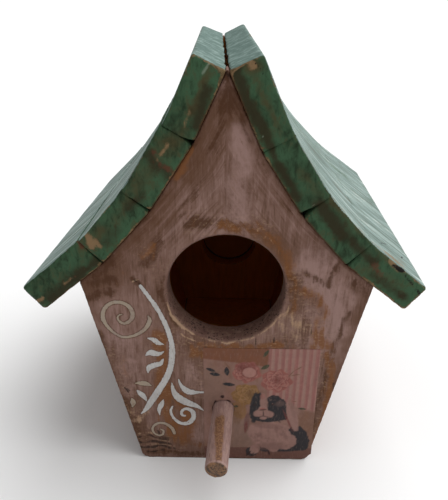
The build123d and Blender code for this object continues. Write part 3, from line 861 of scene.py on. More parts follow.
# stains on the front ends of the slats: (line of x and z, half width, strength)
endStrokes = {
    "umber": [
        ([(-7, 175), (-10, 169), (-12, 164)], 2.6, 1.0),
        ([(2.5, 184), (7.3, 172.5), (12.7, 161.8)], 2.2, 1.0),
        ([(12.7, 161.8), (19.9, 148.8), (28.3, 135)], 1.9, 0.95),
        ([(-60, 103), (-66, 97), (-74, 90)], 3.4, 0.85),
        ([(-52, 107), (-60, 103)], 2.4, 0.8), ([(36, 133), (41, 127), (46, 121)], 3.2, 0.9),
        ([(50, 119), (55, 113), (60, 109)], 2.0, 0.75), ([(39, 140), (47, 131), (55, 124)], 1.4, 0.7),
        ([(-29, 152), (-25, 147), (-21, 143)], 2.6, 0.7), ([(-33, 136), (-38, 130)], 2.2, 0.6),
        ([(60, 104), (68, 97), (74, 92)], 2.0, 0.6), ([(-78, 88), (-72, 94)], 1.8, 0.5),
        ([(-44, 122), (-50, 116)], 2.6, 0.55),
    ],
    "olive": [
        ([(-3, 186), (-9, 177), (-14, 167)], 1.5, 0.9), ([(5, 189), (9.5, 183)], 3.0, 0.9),
        ([(8, 184), (14, 172), (20, 160)], 1.2, 0.6), ([(-19, 158), (-27, 150), (-34, 141)], 4.5, 0.6),
        ([(40, 136), (52, 124), (66, 110)], 1.7, 0.8), ([(-50, 121), (-57, 114)], 4.0, 0.6),
        ([(58, 106), (70, 98)], 3.0, 0.55), ([(28, 146), (36, 137)], 1.8, 0.55),
        ([(-37, 134), (-45, 126)], 2.6, 0.45),
    ],
    "tan": [
        ([(-58.5, 121), (-53.5, 115)], 1.5, 1.0), ([(-56, 119), (-51, 114.5)], 1.3, 0.8),
        ([(-22, 156), (-26, 150)], 0.8, 0.7), ([(7, 187), (9, 183.5)], 1.3, 0.9),
        ([(-77, 90.5), (-80, 88)], 1.0, 0.9), ([(66, 110), (71, 105.5)], 1.5, 0.95),
        ([(-68, 97), (-64, 100)], 0.9, 0.6), ([(54, 123), (60, 117)], 0.8, 0.6),
        ([(-14, 168), (-16, 163)], 0.7, 0.5),
    ],
    "red": [
        ([(60.5, 107), (63, 104)], 1.8, 0.9), ([(-27, 152), (-23, 147)], 1.8, 0.8),
        ([(-60.5, 116.5), (-58, 114)], 0.9, 0.9), ([(-63, 101), (-68, 96)], 1.6, 0.5),
    ],
    "chip": [
        ([(68.2, 107.6), (71.6, 105.0)], 1.3, 1.0), ([(73.0, 102.6), (77.2, 98.9)], 0.9, 0.9),
        ([(79.2, 96.6), (81.8, 93.6)], 1.0, 0.9), ([(49.6, 114.2), (55.8, 109)], 0.4, 0.9),
        ([(-32, 148), (-28.5, 151)], 0.5, 0.7), ([(-18.3, 143), (-16, 150)], 0.4, 0.4),
        ([(8.2, 186.8), (12.5, 181.2)], 0.35, 1.0), ([(63, 112.5), (66.5, 110.4)], 0.5, 0.8),
    ],
    "pale": [
        ([(17.8, 146.1), (18.2, 145.6)], 0.35, 0.9), ([(12.8, 160.0), (13.1, 159.4)], 0.3, 0.8),
        ([(-8.5, 181.5), (-5.5, 185)], 0.8, 0.8), ([(30, 130), (34.9, 133.9), (38.9, 136.8)], 0.3, 0.6),
        ([(46, 112), (52, 106)], 0.3, 0.3),
    ],
}

# marks on the right slope, as seen from above: (line of x and y, half width, strength)
topMarks = {
    "tan": [([(40, -76), (52, -76), (66, -76)], 1.1, 0.9), ([(64, -74), (72, -73)], 3.4, 0.95),
            ([(70, -70), (76, -66)], 3.0, 0.7), ([(24, -77), (34, -77)], 0.6, 0.5),
            ([(46, 20), (52, 24)], 3.0, 0.4), ([(-60, -70), (-50, -74)], 2.0, 0.6)],
    "chip": [([(66, -64), (70, -58)], 0.35, 0.9), ([(76, -62), (78, -58)], 0.4, 0.9),
             ([(-12, -60), (-20, -52)], 0.4, 0.5)],
}


def makeSlat(side, number):
    nodeName = f"{side}_slat_{number}"
    flip = -1 if side == "left" else 1
    pieceName = nodeName + "_wood"
    piece, points, normals, sharp = carveWood(nodeName, pieceName, roof["voxel"], wave=0.10, wear=0.6)
    # the slat's own directions: out of the roof, and down the slope
    faces = readFaces(piece, "normal")
    topFaces = faces[(faces[:, 2] > 0.4) & (np.abs(faces[:, 1]) < 0.3) & (faces[:, 0] * flip > 0.3)]
    out = topFaces.mean(axis=0)
    out[1] = 0
    out /= np.linalg.norm(out)
    down = np.array([out[2] * flip, 0, -out[0] * flip])
    depth = sharp @ out
    depth -= np.percentile(depth, 0.5)
    fall = sharp @ down
    low, high = np.percentile(fall, 1), np.percentile(fall, 99)
    share = np.clip((fall - low) / (high - low), 0, 1)
    rise = roof[side + "Rise"][number - 1]
    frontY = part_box(nodeName)[0][1] / mm
    atFront = fade(points[:, 1], frontY + 0.5, frontY + 3.0)
    closed = np.zeros(len(points))
    lift = np.zeros(len(points))
    joints = roof[side + "Joints"]
    # the joint above, facing up the slope, and the joint below
    for facing, joint in ((-1, number - 2), (1, number - 1)):
        if joint < 0 or joint >= len(joints):
            continue
        kerf, lineShown, filler = joints[joint]
        isJoint = (normals @ down * facing > 0.9) & (depth > kerf + 1.5) & (depth < 11.5)
        isJoint &= (fall < (low + high) / 2) if facing < 0 else (fall > (low + high) / 2)
        face = sharp[isJoint]
        outward = normals[isJoint].mean(axis=0)
        outward /= np.linalg.norm(outward)
        inset = -(sharp - face.mean(axis=0)) @ outward
        # above the kerf the arris stays sharp and meets the next slat
        near = fade(inset, 0.6, 1.8) * ease(depth, kerf + 0.2, kerf + 1.4) * (1 - lineShown * atFront)
        closed = np.maximum(closed, near)
        points += (sharp + outward * roof["meet"] - points) * near[:, None]
        filled = fade(inset, 1.0, 2.0) * fade(depth, kerf - 0.6, kerf + 0.6) * (filler > 0)
        points += outward * ((filler * (1 - depth / (kerf + 1)) + 0.2) * filled)[:, None]
        closed = np.maximum(closed, filled)
        # the sweep of the roof carries on across the joint
        lift += roof["bendLift"] * np.clip(1 - inset / roof["bend"], 0, 1) ** 2
    # each slat stands a little proud at its joints, mostly at the front
    step = (rise[0] * (1 - share) ** 1.6 + rise[1] * share) * (0.25 + 0.75 * ease(-points[:, 1], -10, 70))
    points += out * ((lift + step) * np.clip(depth / roof["thickness"], 0, 1))[:, None]
    ends = ease(np.abs(normals[:, 1]), 0.6, 0.95)
    points[:, 1] -= roof["endWave"] * ends * layeredNoise(points, 9, 12) * np.sign(points[:, 1])
    writePoints(piece, points)
    ridgeFall = np.hypot(points[:, 0], points[:, 2] - roof["ridgeHeight"])
    addVectorMask(piece, "slope", np.stack([ridgeFall, points[:, 1], depth], axis=1))
    for name in ("arris", "hollow"):
        mask = np.empty(len(points), np.float32)
        piece.data.attributes[name].data.foreach_get("value", mask)
        piece.data.attributes[name].data.foreach_set("value", (mask * (1 - closed)).astype(np.float32))
    isFront = fade(points[:, 1], frontY + 0.7, frontY + 1.6)
    flat = points[:, [0, 2]]
    for name, strokes in endStrokes.items():
        addMask(piece, name, brushMask(flat, strokes) * isFront)
    isTop = ease(normals @ out, 0.55, 0.9)
    crown = ease(normals @ -down, 0.6, 0.9) * ease(points[:, 2], 180, 184) * (number == 1)
    isTop = np.maximum(isTop, crown)
    addMask(piece, "crown", crown)
    addMask(piece, "top", isTop)
    addMask(piece, "under", ease(-(normals @ out), 0.5, 0.9))
    above = points[:, :2]
    for name, strokes in topMarks.items():
        addMask(piece, "top" + name.capitalize(), brushMask(above, strokes) * isTop)
    return piece


def paintRoof():
    look = roof
    finish = Finish("roof_paint_look")
    here = finish.place()
    slope = finish.mask("slope", "Vector")
    streaky = finish.noise(finish.stretch(slope, (0.09, 1, 0.6)), 2.6, 5, 0.65, 0.4)
    broad = finish.noise(finish.stretch(slope, (0.16, 1, 0.6)), 9, 4, 0.6, 0.3)
    fine = finish.noise(finish.stretch(slope, (0.1, 1, 1)), 0.8, 3, 0.6)
    cloudy = finish.noise(here, 22, 4, 0.6)
    patchy = finish.noise(here, 5, 5, 0.65, 0.4)
    speck = finish.noise(here, 1.0, 3, 0.6)
    endBrush = finish.noise(finish.place(scale=(1, 0.3, 0.45)), 2.4, 4, 0.65, 0.5)
    top, arris = finish.mask("top"), finish.mask("arris")
    # top of the slats: a paler coat, lightened further by painted sheen of the sky
    sky = finish.mix((streaky * 0.55 + broad * 0.45).step(0.40, 0.62), look["aqua"], look["aquaPaleAndSheen"])
    sky = finish.mix((broad + (cloudy - 0.5) * 0.8).step(0.55, 0.70) * 0.6, sky, look["green"])
    # painted highlights: the whitest streaks down the slope are partly rubbed paint and partly painted sheen
    rubsAndSheen = (streaky * 0.7 + broad * 0.4 + (patchy - 0.5) * 0.3).step(0.62, 0.72)
    sky = finish.mix(rubsAndSheen * 0.75, sky, look["topRubbedAndSheen"])
    stains = (streaky * 0.6 + broad * 0.5 + (patchy - 0.5) * 0.4).fall(0.40, 0.49)
    sky = finish.mix(stains * 0.6, sky, look["topStained"])
    sky = finish.mix((fine + patchy * 0.4).step(0.76, 0.88) * 0.5, sky, look["olive"])
    ragged = (patchy - 0.5) * 1.0 + (speck - 0.5) * 0.5
    sky = finish.mix((finish.mask("topTan") + ragged).step(0.4, 0.9) * 0.9, sky, look["tan"])
    sky = finish.mix((finish.mask("topChip") + ragged * 0.5).step(0.35, 0.6), sky, look["black"])
    # the up-facing crown is paler too: partly paint, partly painted sheen
    crown = finish.mix((streaky * 0.4 + patchy * 0.6).step(0.44, 0.66), look["crown"], look["crownPaleAndSheen"])
    sky = finish.mix(finish.mask("crown"), sky, crown)
    # ends and undersides
    side = finish.mix((cloudy * 0.5 + endBrush * 0.5).step(0.36, 0.58), look["greenDark"], look["green"])
    side = finish.mix((endBrush + (patchy - 0.5) * 0.6).step(0.52, 0.72) * 0.45, side, look["olive"])
    side = finish.mix((endBrush * 0.5 + speck * 0.5).fall(0.36, 0.46) * 0.4, side, look["greenDark"])
    ragged = (patchy - 0.5) * 0.9 + (endBrush - 0.5) * 0.9 + (speck - 0.5) * 0.3
    side = finish.strokes(side, ragged, look, look["edges"])
    under = finish.mix(patchy.step(0.4, 0.6) * 0.5, look["under"], look["umber"])
    side = finish.mix(finish.mask("under"), side, under)
    # the two colours meet along an uneven brushed edge
    colour = finish.mix((top + (patchy - 0.5) * 0.8 + (speck - 0.5) * 0.4).step(0.38, 0.62), side, sky)
    rubbed = (arris + (patchy - 0.5) * 1.8 + (cloudy - 0.5) * 3.2 + (speck - 0.5) * 0.4).step(0.95, 1.3)
    worn = finish.mix((speck * 0.5 + cloudy * 0.5).step(0.42, 0.58), look["olive"], look["tan"])
    worn = finish.mix(patchy.step(0.5, 0.62) * 0.6, worn, look["umber"])
    colour = finish.mix(rubbed * (0.85 - top * 0.3), colour, worn)
    colour = finish.mix((finish.mask("chip") + ragged * 0.4).step(0.4, 0.7), colour, look["black"])
    # darker, near black, in the hollows
    colour = finish.mix(finish.mask("hollow") * 0.7, colour, look["black"])
    height = streaky * 0.4 + endBrush * 0.4 + fine * 0.2 - rubbed * 0.8 - finish.mask("chip") * 1.2
    roughness = 0.5 + patchy * 0.25 + rubbed * 0.15
    return finish.end(colour, roughness, finish.bump(height, 0.2, 0.8), Specular_IOR_Level=0.12)


roofLook = paintRoof()
for sideName in ("left", "right"):
    for slatNumber in range(1, 5):
        slat = makeSlat(sideName, slatNumber)
        slat.data.materials.append(roofLook)
        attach(slat, "house")
        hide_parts(f"{sideName}_slat_{slatNumber}")
print("roof slats done")


# perch

perchLook = {
    "voxel": 0.42,
    "paintRadius": 4.9,  # the dowel's skin is laid out flat at this radius for its paint
    "rubbedFrom": (14, 22),  # from the board, where the rubbed top starts
    "rubbedWidth": (0.8, 3.4),  # either side of the rubbed line, where it ends
    "pink": (0.22, 0.125, 0.105),
    "pinkPale": (0.38, 0.25, 0.22),
    "brown": (0.115, 0.044, 0.016),
    "endGrain": (0.24, 0.115, 0.048),
    "endDark": (0.04, 0.02, 0.01),
}


def makePerch():
    piece = copyNode("perch", "perch_dowel")
    look = perchLook
    evenFaces(piece, look["voxel"])
    applyModifier(piece, "SMOOTH", factor=0.5, iterations=3)
    points, normals = readPoints(piece), readNormals(piece)
    tip = points[points[:, 1] < points[:, 1].min() + 0.4].mean(axis=0)
    root = points[points[:, 1] > points[:, 1].max() - 0.4].mean(axis=0)
    along = (tip - root) / np.linalg.norm(tip - root)
    far = (points - root) @ along
    isEnd = ease(normals @ along, 0.5, 0.85)
    # long whittled waves, end grain on the tip, and a fine tooth all over
    waves = 0.16 * layeredNoise(points * np.array([1, 0.35, 1]), 5, 3)
    points += normals * waves[:, None] * (1 - isEnd)[:, None]
    points += along * (isEnd * 0.35 * layeredNoise(points, 1.6, 8))[:, None]
    points += normals * ((1 - isEnd) * 0.05 * layeredNoise(points, 1.0, 9))[:, None]
    writePoints(piece, points)
    around = points - (root + along * far[:, None])
    up = np.cross(np.cross(along, [0, 0, 1.0]), along)
    up /= np.linalg.norm(up)
    right = np.cross(along, up)
    girth = np.arctan2(around @ right, around @ up) * look["paintRadius"]
    addVectorMask(piece, "dowel", np.stack([girth, far, np.linalg.norm(around, axis=1)], axis=1))
    addMask(piece, "endGrain", isEnd)
    # the top is rubbed through by use, from a little way out to the tip
    rubbed = fade(np.abs(girth - 0.4), *look["rubbedWidth"]) * ease(far, *look["rubbedFrom"])
    addMask(piece, "rubbed", rubbed)
    addMask(piece, "rim", fade(np.abs(far - far.max() + 0.6), 0.2, 1.6))
    finish = Finish("perch_paint_look")
    around = finish.mask("dowel", "Vector")
    here = finish.place()
    streaky = finish.noise(finish.stretch(around, (1, 0.12, 1)), 1.0, 4, 0.65, 0.3)
    patchy = finish.noise(finish.stretch(around, (1, 0.4, 1)), 2.6, 4, 0.65, 0.4)
    speck = finish.noise(here, 0.7, 3, 0.6)
    colour = finish.mix((streaky * 0.5 + patchy * 0.5).step(0.38, 0.66), look["pink"], look["pinkPale"])
    colour = finish.mix((patchy + (streaky - 0.5)).step(0.58, 0.78) * 0.55, colour, look["brown"])
    ragged = (streaky - 0.5) * 1.6 + (speck - 0.5) * 1.1 + (patchy - 0.5) * 1.3
    bare = finish.mix(speck.step(0.42, 0.6), look["brown"], look["endGrain"])
    colour = finish.mix((finish.mask("rubbed") + ragged).step(0.15, 0.7) * 0.92, colour, bare)
    colour = finish.mix((finish.mask("rim") + ragged).step(0.5, 0.9) * 0.7, colour, look["pinkPale"])
    rings = finish.noise(finish.stretch(around, (0.25, 1, 1.0)), 0.9, 3, 0.6)
    grain = finish.mix((rings * 0.6 + speck * 0.4).step(0.38, 0.6), look["endDark"], look["endGrain"])
    colour = finish.mix(finish.mask("endGrain"), colour, grain)
    height = streaky * 0.6 + speck * 0.4 + finish.mask("endGrain") * rings
    piece.data.materials.append(finish.end(colour, 0.55 + patchy * 0.2, finish.bump(height, 0.15, 0.8)))
    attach(piece, "house")
    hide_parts("perch")


makePerch()
print("perch done")


# paper print: made-up roses, leaves, stripes and a resting rabbit

printArt = {
    "grid": 0.33,
    "paperTint": (0.275, 0.175, 0.15),
    "paperBrown": (0.19, 0.105, 0.065),
    "ledger": (0.21, 0.150, 0.118),
    "band": (0.170, 0.062, 0.021),
    "stripeDark": (0.285, 0.125, 0.118),
    "stripePale": (0.34, 0.22, 0.195),
    "rosePale": (0.40, 0.235, 0.21),
    "roseMid": (0.30, 0.115, 0.098),
    "roseDark": (0.15, 0.034, 0.030),
    "yellow": (0.25, 0.145, 0.050),
    "yellowPale": (0.36, 0.24, 0.115),
    "yellowDark": (0.15, 0.08, 0.025),
    "navy": (0.016, 0.020, 0.026),
    "leafGreen": (0.055, 0.062, 0.032),
    "furWhite": (0.31, 0.20, 0.18),
    "furShade": (0.175, 0.10, 0.088),
    "furBlack": (0.020, 0.019, 0.025),
    "footBand": (0.13, 0.058, 0.045),
    "ink": (0.03, 0.012, 0.012),
    "fibre": (0.30, 0.19, 0.15),
    "crease": (0.14, 0.07, 0.045),
    "age": (0.86, 0.72, 0.66),  # the varnish over it has yellowed
    "thickness": 0.19,
    "gap": 0.005,  # between the paper and the board
    "crinkle": 0.03,
    "perchRim": (0.96, 1.08),  # of the perch hole's size: what is cut out, and what is drawn onto its rim
    "stripePitch": 3.05,
    "bandTop": 60.0,
}

fur = 0.17  # how ragged fur is at its edge

# daubs of paint: (tint, strength, x, z, half width, half height, turn in degrees, softness, raggedness)
daubs = {
    "paperStains": [
        ("ledger", 0.6, 6, 15, 8, 11, 0, 2.0, 0.3),
        ("paperBrown", 0.7, 39, 20, 6, 13, 0, 2.0, 0.3),
        ("ledger", 0.5, -6, 44, 6, 10, 0, 2.0, 0.4),
    ],
    "roseHeart": [
        ("roseDark", 0.55, 9.6, 55.6, 4.6, 2.0, 0, 0.8, 0.2),
        ("roseDark", 0.7, 10.8, 52.0, 3.6, 3.1, 0, 0.4, 0.10),
        ("rosePale", 0.95, 10.8, 52.0, 3.1, 2.7, 0, 0.4, 0.10),
    ],
    "yellowShade": [
        ("yellow", 0.75, 6.5, 30.5, 3.6, 5.5, 10, 0.6, 0.15),
        ("yellowDark", 0.4, 5.6, 26.0, 2.2, 4.0, 0, 0.6, 0.2),
    ],
    "inkSpots": [
        ("ink", 1.0, -1.4, 38.2, 1.0, 0.9, 20, 0.2, 0.25),
        ("ink", 1.0, -4.8, 34.9, 0.5, 1.3, -20, 0.2, 0.2),
        ("ink", 1.0, 1.4, 35.8, 1.2, 0.5, -20, 0.2, 0.2),
    ],
    "body": [
        ("furBlack", 1.0, 35.4, 14.0, 4.6, 8.2, 22, 0.3, fur),
        ("furBlack", 1.0, 31.5, 6.8, 7.6, 1.4, 7, 0.3, 0.2),
        ("furBlack", 1.0, 19.6, 7.0, 3.4, 1.9, 0, 0.3, 0.2),
        ("furBlack", 1.0, 13.0, 5.0, 2.9, 2.9, 50, 0.3, 0.25),
        ("furWhite", 1.0, 22.5, 15.2, 9.6, 8.2, -8, 0.5, fur),
        ("furWhite", 1.0, 14.6, 17.0, 3.8, 5.6, 8, 0.5, fur),
        ("furWhite", 1.0, 29.8, 11.4, 4.2, 5.0, -35, 0.4, fur),
        ("furWhite", 1.0, 23.6, 8.2, 3.0, 3.2, 20, 0.4, fur),
        ("furWhite", 1.0, 14.4, 6.4, 2.4, 3.2, -20, 0.4, fur),
        ("ink", 1.0, 11.4, 3.6, 0.5, 1.9, -35, 0.2, 0.2),
        ("ink", 0.8, 13.4, 3.0, 0.4, 1.3, -25, 0.2, 0.2),
        ("ink", 1.0, 21.4, 4.4, 0.5, 1.5, 15, 0.2, 0.2),
    ],
    "bodyShade": [
        ("furShade", 0.5, 22.0, 8.6, 8.0, 2.4, 4, 1.2, 0.2),
        ("furShade", 0.5, 19.5, 21.5, 7.6, 1.7, -6, 0.7, 0.15),
        ("furShade", 0.5, 28.6, 15.5, 1.0, 3.2, 25, 0.6, 0.15),
        ("furShade", 1.0, 10.2, 23.4, 1.3, 5.6, -4, 0.3, 0.12),
        ("roseDark", 0.7, 9.9, 20.2, 0.8, 3.4, -4, 0.3, 0.12),
    ],
    "head": [
        ("furBlack", 1.0, 13.9, 31.8, 2.5, 8.8, -3, 0.35, fur),
        ("furBlack", 1.0, 15.0, 37.6, 1.5, 3.4, -22, 0.3, fur),
        ("furBlack", 1.0, 24.6, 31.2, 4.9, 7.6, 16, 0.35, fur),
        ("furBlack", 1.0, 22.6, 36.6, 3.3, 2.9, -10, 0.35, fur),
        ("furBlack", 1.0, 18.8, 25.4, 6.2, 1.9, -4, 0.35, fur),
        ("furWhite", 1.0, 17.9, 35.0, 1.7, 5.2, 5, 0.6, fur),
        ("furWhite", 1.0, 17.6, 31.0, 2.2, 2.4, 0, 0.6, fur),
        ("furWhite", 1.0, 15.9, 28.7, 2.7, 2.0, 18, 0.5, fur),
        ("furWhite", 1.0, 20.1, 28.4, 2.9, 2.0, -18, 0.5, fur),
        ("ink", 1.0, 13.6, 33.6, 0.7, 0.6, 0, 0.2, 0.0),
    ],
    "face": [
        ("furWhite", 1.0, 18.0, 25.9, 1.6, 0.9, 0, 0.3, fur),
        ("roseMid", 0.5, 17.3, 38.6, 1.2, 1.6, 0, 0.5, fur),
        ("roseMid", 0.8, 17.6, 31.3, 1.5, 0.65, 0, 0.25, 0.1),
        ("ink", 1.0, 17.6, 30.8, 1.7, 0.32, 6, 0.2, 0.1),
        ("ink", 0.9, 17.9, 28.6, 0.28, 1.5, 4, 0.2, 0.1),
        ("ink", 0.6, 19.2, 26.9, 1.6, 0.25, -12, 0.2, 0.1),
        ("ink", 1.0, 22.2, 34.2, 0.8, 0.6, 0, 0.2, 0.0),
        ("furWhite", 0.7, 22.0, 34.6, 0.3, 0.2, 0, 0.15, 0.0),
        ("furWhite", 0.25, 25.5, 34.6, 2.2, 1.6, 20, 0.9, 0.2),
        ("furWhite", 1.0, 31.5, 27.4, 2.3, 9.4, 14, 0.4, fur),
        ("roseDark", 0.8, 29.6, 24.6, 0.5, 6.0, 22, 0.4, 0.1),
        ("furShade", 0.35, 32.0, 30.0, 0.9, 6.0, 14, 0.8, 0.1),
    ],
}

# leaves: (x and z of one tip, x and z of the other, half width, tint)
leaves = [
    (-9.0, 54.2, -4.6, 52.4, 0.8, "navy"),
    (-7.2, 51.3, -2.4, 50.4, 1.0, "navy"),
    (0.3, 55.0, 0.8, 50.2, 1.1, "navy"),
    (-1.5, 45.6, 4.4, 45.0, 0.95, "navy"),
    (16.9, 60.6, 19.1, 64.4, 0.8, "leafGreen"),
    (16.0, 53.9, 19.8, 56.4, 0.95, "leafGreen"),
    (3.8, 32.6, 6.2, 32.7, 0.6, "leafGreen"),
    (34.0, 32.1, 37.9, 31.5, 0.6, "leafGreen"),
]
twigs = [
    (28.2, 49.5, 31.1, 53.6), (31.0, 53.4, 34.6, 55.8), (29.5, 50.6, 34.0, 51.6),
    (30.2, 34.9, 32.0, 33.6), (31.0, 36.2, 33.2, 36.0), (-0.5, 57.5, 2.4, 53.4),
]


def paintPrint(flat):
    # returns a colour for every (x, z) point
    art = printArt
    x, z = flat[:, 0], flat[:, 1]
    deep = deepen(flat)
    cloud = layeredNoise(deep, 9, 21)
    speck = layeredNoise(deep, 1.1, 22)
    brush = layeredNoise(deep * np.array([1, 0.2, 1]), 1.6, 23)
    colour = np.tile(np.array(art["paperTint"]), (len(x), 1))

    def lay(mask, tint):
        nonlocal colour
        mask = np.clip(mask, 0, 1)[:, None]
        colour = colour * (1 - mask) + np.array(tint) * mask

    def blob(cx, cz, rx, rz, turn, soft, rough):
        # a turned oval with a soft, ragged edge
        a = math.radians(turn)
        u = ((x - cx) * math.cos(a) + (z - cz) * math.sin(a)) / rx
        v = (-(x - cx) * math.sin(a) + (z - cz) * math.cos(a)) / rz
        reach = np.hypot(u, v) + rough * layeredNoise(deep, 1.5, int(abs(cx * 7 + cz * 3)) % 50)
        edge = soft / min(rx, rz) / 1.2
        return fade(reach, 1 - edge, 1 + edge)

    def dab(group):
        for tint, strength, *shape in daubs[group]:
            lay(blob(*shape) * strength, art[tint])

    lay(ease(cloud + 0.4 * brush, -0.1, 0.5) * 0.6, art["paperBrown"])
    lay(fade(z - 3 * cloud, 6, 14) * 0.4, art["paperBrown"])
    dab("paperStains")
    lay(ease(brush + 0.5 * speck, 0.35, 0.8) * 0.35, art["paperBrown"])
    # washed brown band along the top
    edge = art["bandTop"] - 1.4 * np.clip(x / 10, -1, 2) + 0.7 * cloud
    lay(ease(z, edge - 2.6, edge - 1.6) * fade(x, 19, 24) * (0.8 + 0.2 * speck), art["band"])
    # stripes to the right
    across = (x - 19.5 - 0.02 * (z - 50)) / art["stripePitch"]
    wave = 0.5 + 0.5 * np.cos(2 * math.pi * across)
    zone = ease(x, 18.8, 20.0) * ease(z + 0.30 * (x - 20), 35.2, 38.0)
    lay(zone * 0.92, art["stripePale"])
    lay(zone * ease(wave, 0.30, 0.62) * (0.85 + 0.15 * brush), art["stripeDark"])
    lay(zone * ease(0.5 + 0.5 * np.cos(2 * math.pi * (across * 2 + 0.3)), 0.8, 1.0) * 0.3, art["rosePale"])

    def rose(cx, cz, radius, pale, middle, dark, seed, heart=(0, 0)):
        u, v = x - cx, z - cz
        reach = np.hypot(u, v * 1.12)
        angle = np.arctan2(v, u)
        rim = radius * (1 + 0.07 * np.cos(5 * angle + seed) + 0.05 * np.cos(9 * angle + 2 * seed))
        lay(fade(reach - rim, -0.35, 0.35), middle)
        # petals: rings of overlapping arcs, tighter towards the heart
        for ring, count in ((0.90, 7), (0.72, 6), (0.55, 6), (0.39, 5), (0.24, 4)):
            aside, above = u - heart[0] * (1 - ring), v - heart[1] * (1 - ring)
            far = np.hypot(aside, above * 1.1)
            turn = np.arctan2(above, aside) + seed + ring * 9
            scallop = np.abs(np.cos(turn * count / 2))
            lip = radius * ring * (0.80 + 0.22 * scallop)
            body = fade(far - lip, -0.25, 0.25)
            shade = np.array(middle) * (0.55 + 0.5 * ring) + np.array(dark) * (0.4 - 0.35 * ring)
            lay(body * 0.9, shade)
            lay(body * ease(far, lip - radius * 0.22, lip - 0.1) * (0.6 + 0.25 * brush), pale)
            lay(fade(np.abs(far - lip), 0.05, 0.34) * 0.7 * fade(scallop, 0.5, 1.0), dark)
            lay(body * fade(scallop, 0.02, 0.34) * 0.45, dark)
        far = np.hypot(u - heart[0] * 0.9, v - heart[1] * 0.9)
        lay(fade(far, radius * 0.08, radius * 0.42) * 0.6, dark)

    rose(9.6, 52.2, 6.3, art["rosePale"], art["roseMid"], art["roseDark"], 1.3, heart=(-3.2, 2.2))
    dab("roseHeart")
    rose(9.6, 39.6, 6.6, art["yellowPale"], art["yellow"], art["yellowDark"], 2.1, heart=(2.0, 0.6))
    dab("yellowShade")
    rose(23.2, 47.6, 6.9, art["rosePale"], art["roseMid"], art["roseDark"], 0.4, heart=(-0.2, 0.6))

    def leaf(ax, az, bx, bz, wide, tint, strength):
        cx, cz = (ax + bx) / 2, (az + bz) / 2
        length = math.hypot(bx - ax, bz - az) / 2
        a = math.atan2(bz - az, bx - ax)
        u = ((x - cx) * math.cos(a) + (z - cz) * math.sin(a)) / length
        v = -(x - cx) * math.sin(a) + (z - cz) * math.cos(a)
        half = wide * np.clip(1 - u * u, 0, 1) ** 0.8
        lay(ease(half - np.abs(v), -0.12, 0.12) * (np.abs(u) < 1) * strength, tint)

    for ax, az, bx, bz, wide, tint in leaves:
        leaf(ax, az, bx, bz, wide, art[tint], 1.0)
    for ax, az, bx, bz in twigs:
        leaf(ax, az, bx, bz, 0.28, art["paperBrown"], 0.9)
    dab("inkSpots")
    # strip along the foot
    lay(fade(z - 0.5 * brush, 7.3, 7.9) * (0.85 + 0.15 * brush), art["footBand"])
    # rabbit: rump, body, feet, ears, head, muzzle
    dab("body")
    tuft = layeredNoise(deep * np.array([1.4, 0.5, 1]), 1.5, 41)
    mottle = ease(layeredNoise(deep, 3.0, 40) + tuft * 0.6, 0.0, 0.7)
    lay(mottle * blob(22, 14, 10, 8, 0, 1, 0.0) * 0.6, art["furShade"])
    dab("bodyShade")
    # head: dark sides, pale blaze and muzzle
    dab("head")
    lay(ease(tuft, 0.35, 0.8) * blob(24.4, 31.0, 4.4, 6.6, 16, 0.8, 0.1) * 0.3, art["furShade"])
    dab("face")
    # faded and rubbed here and there
    lay(ease(speck + 0.6 * cloud, 0.35, 0.8) * 0.3, art["paperTint"])
    colour *= (1 + 0.16 * speck + 0.14 * brush)[:, None]
    return np.clip(colour * np.array(art["age"]), 0.004, 1)


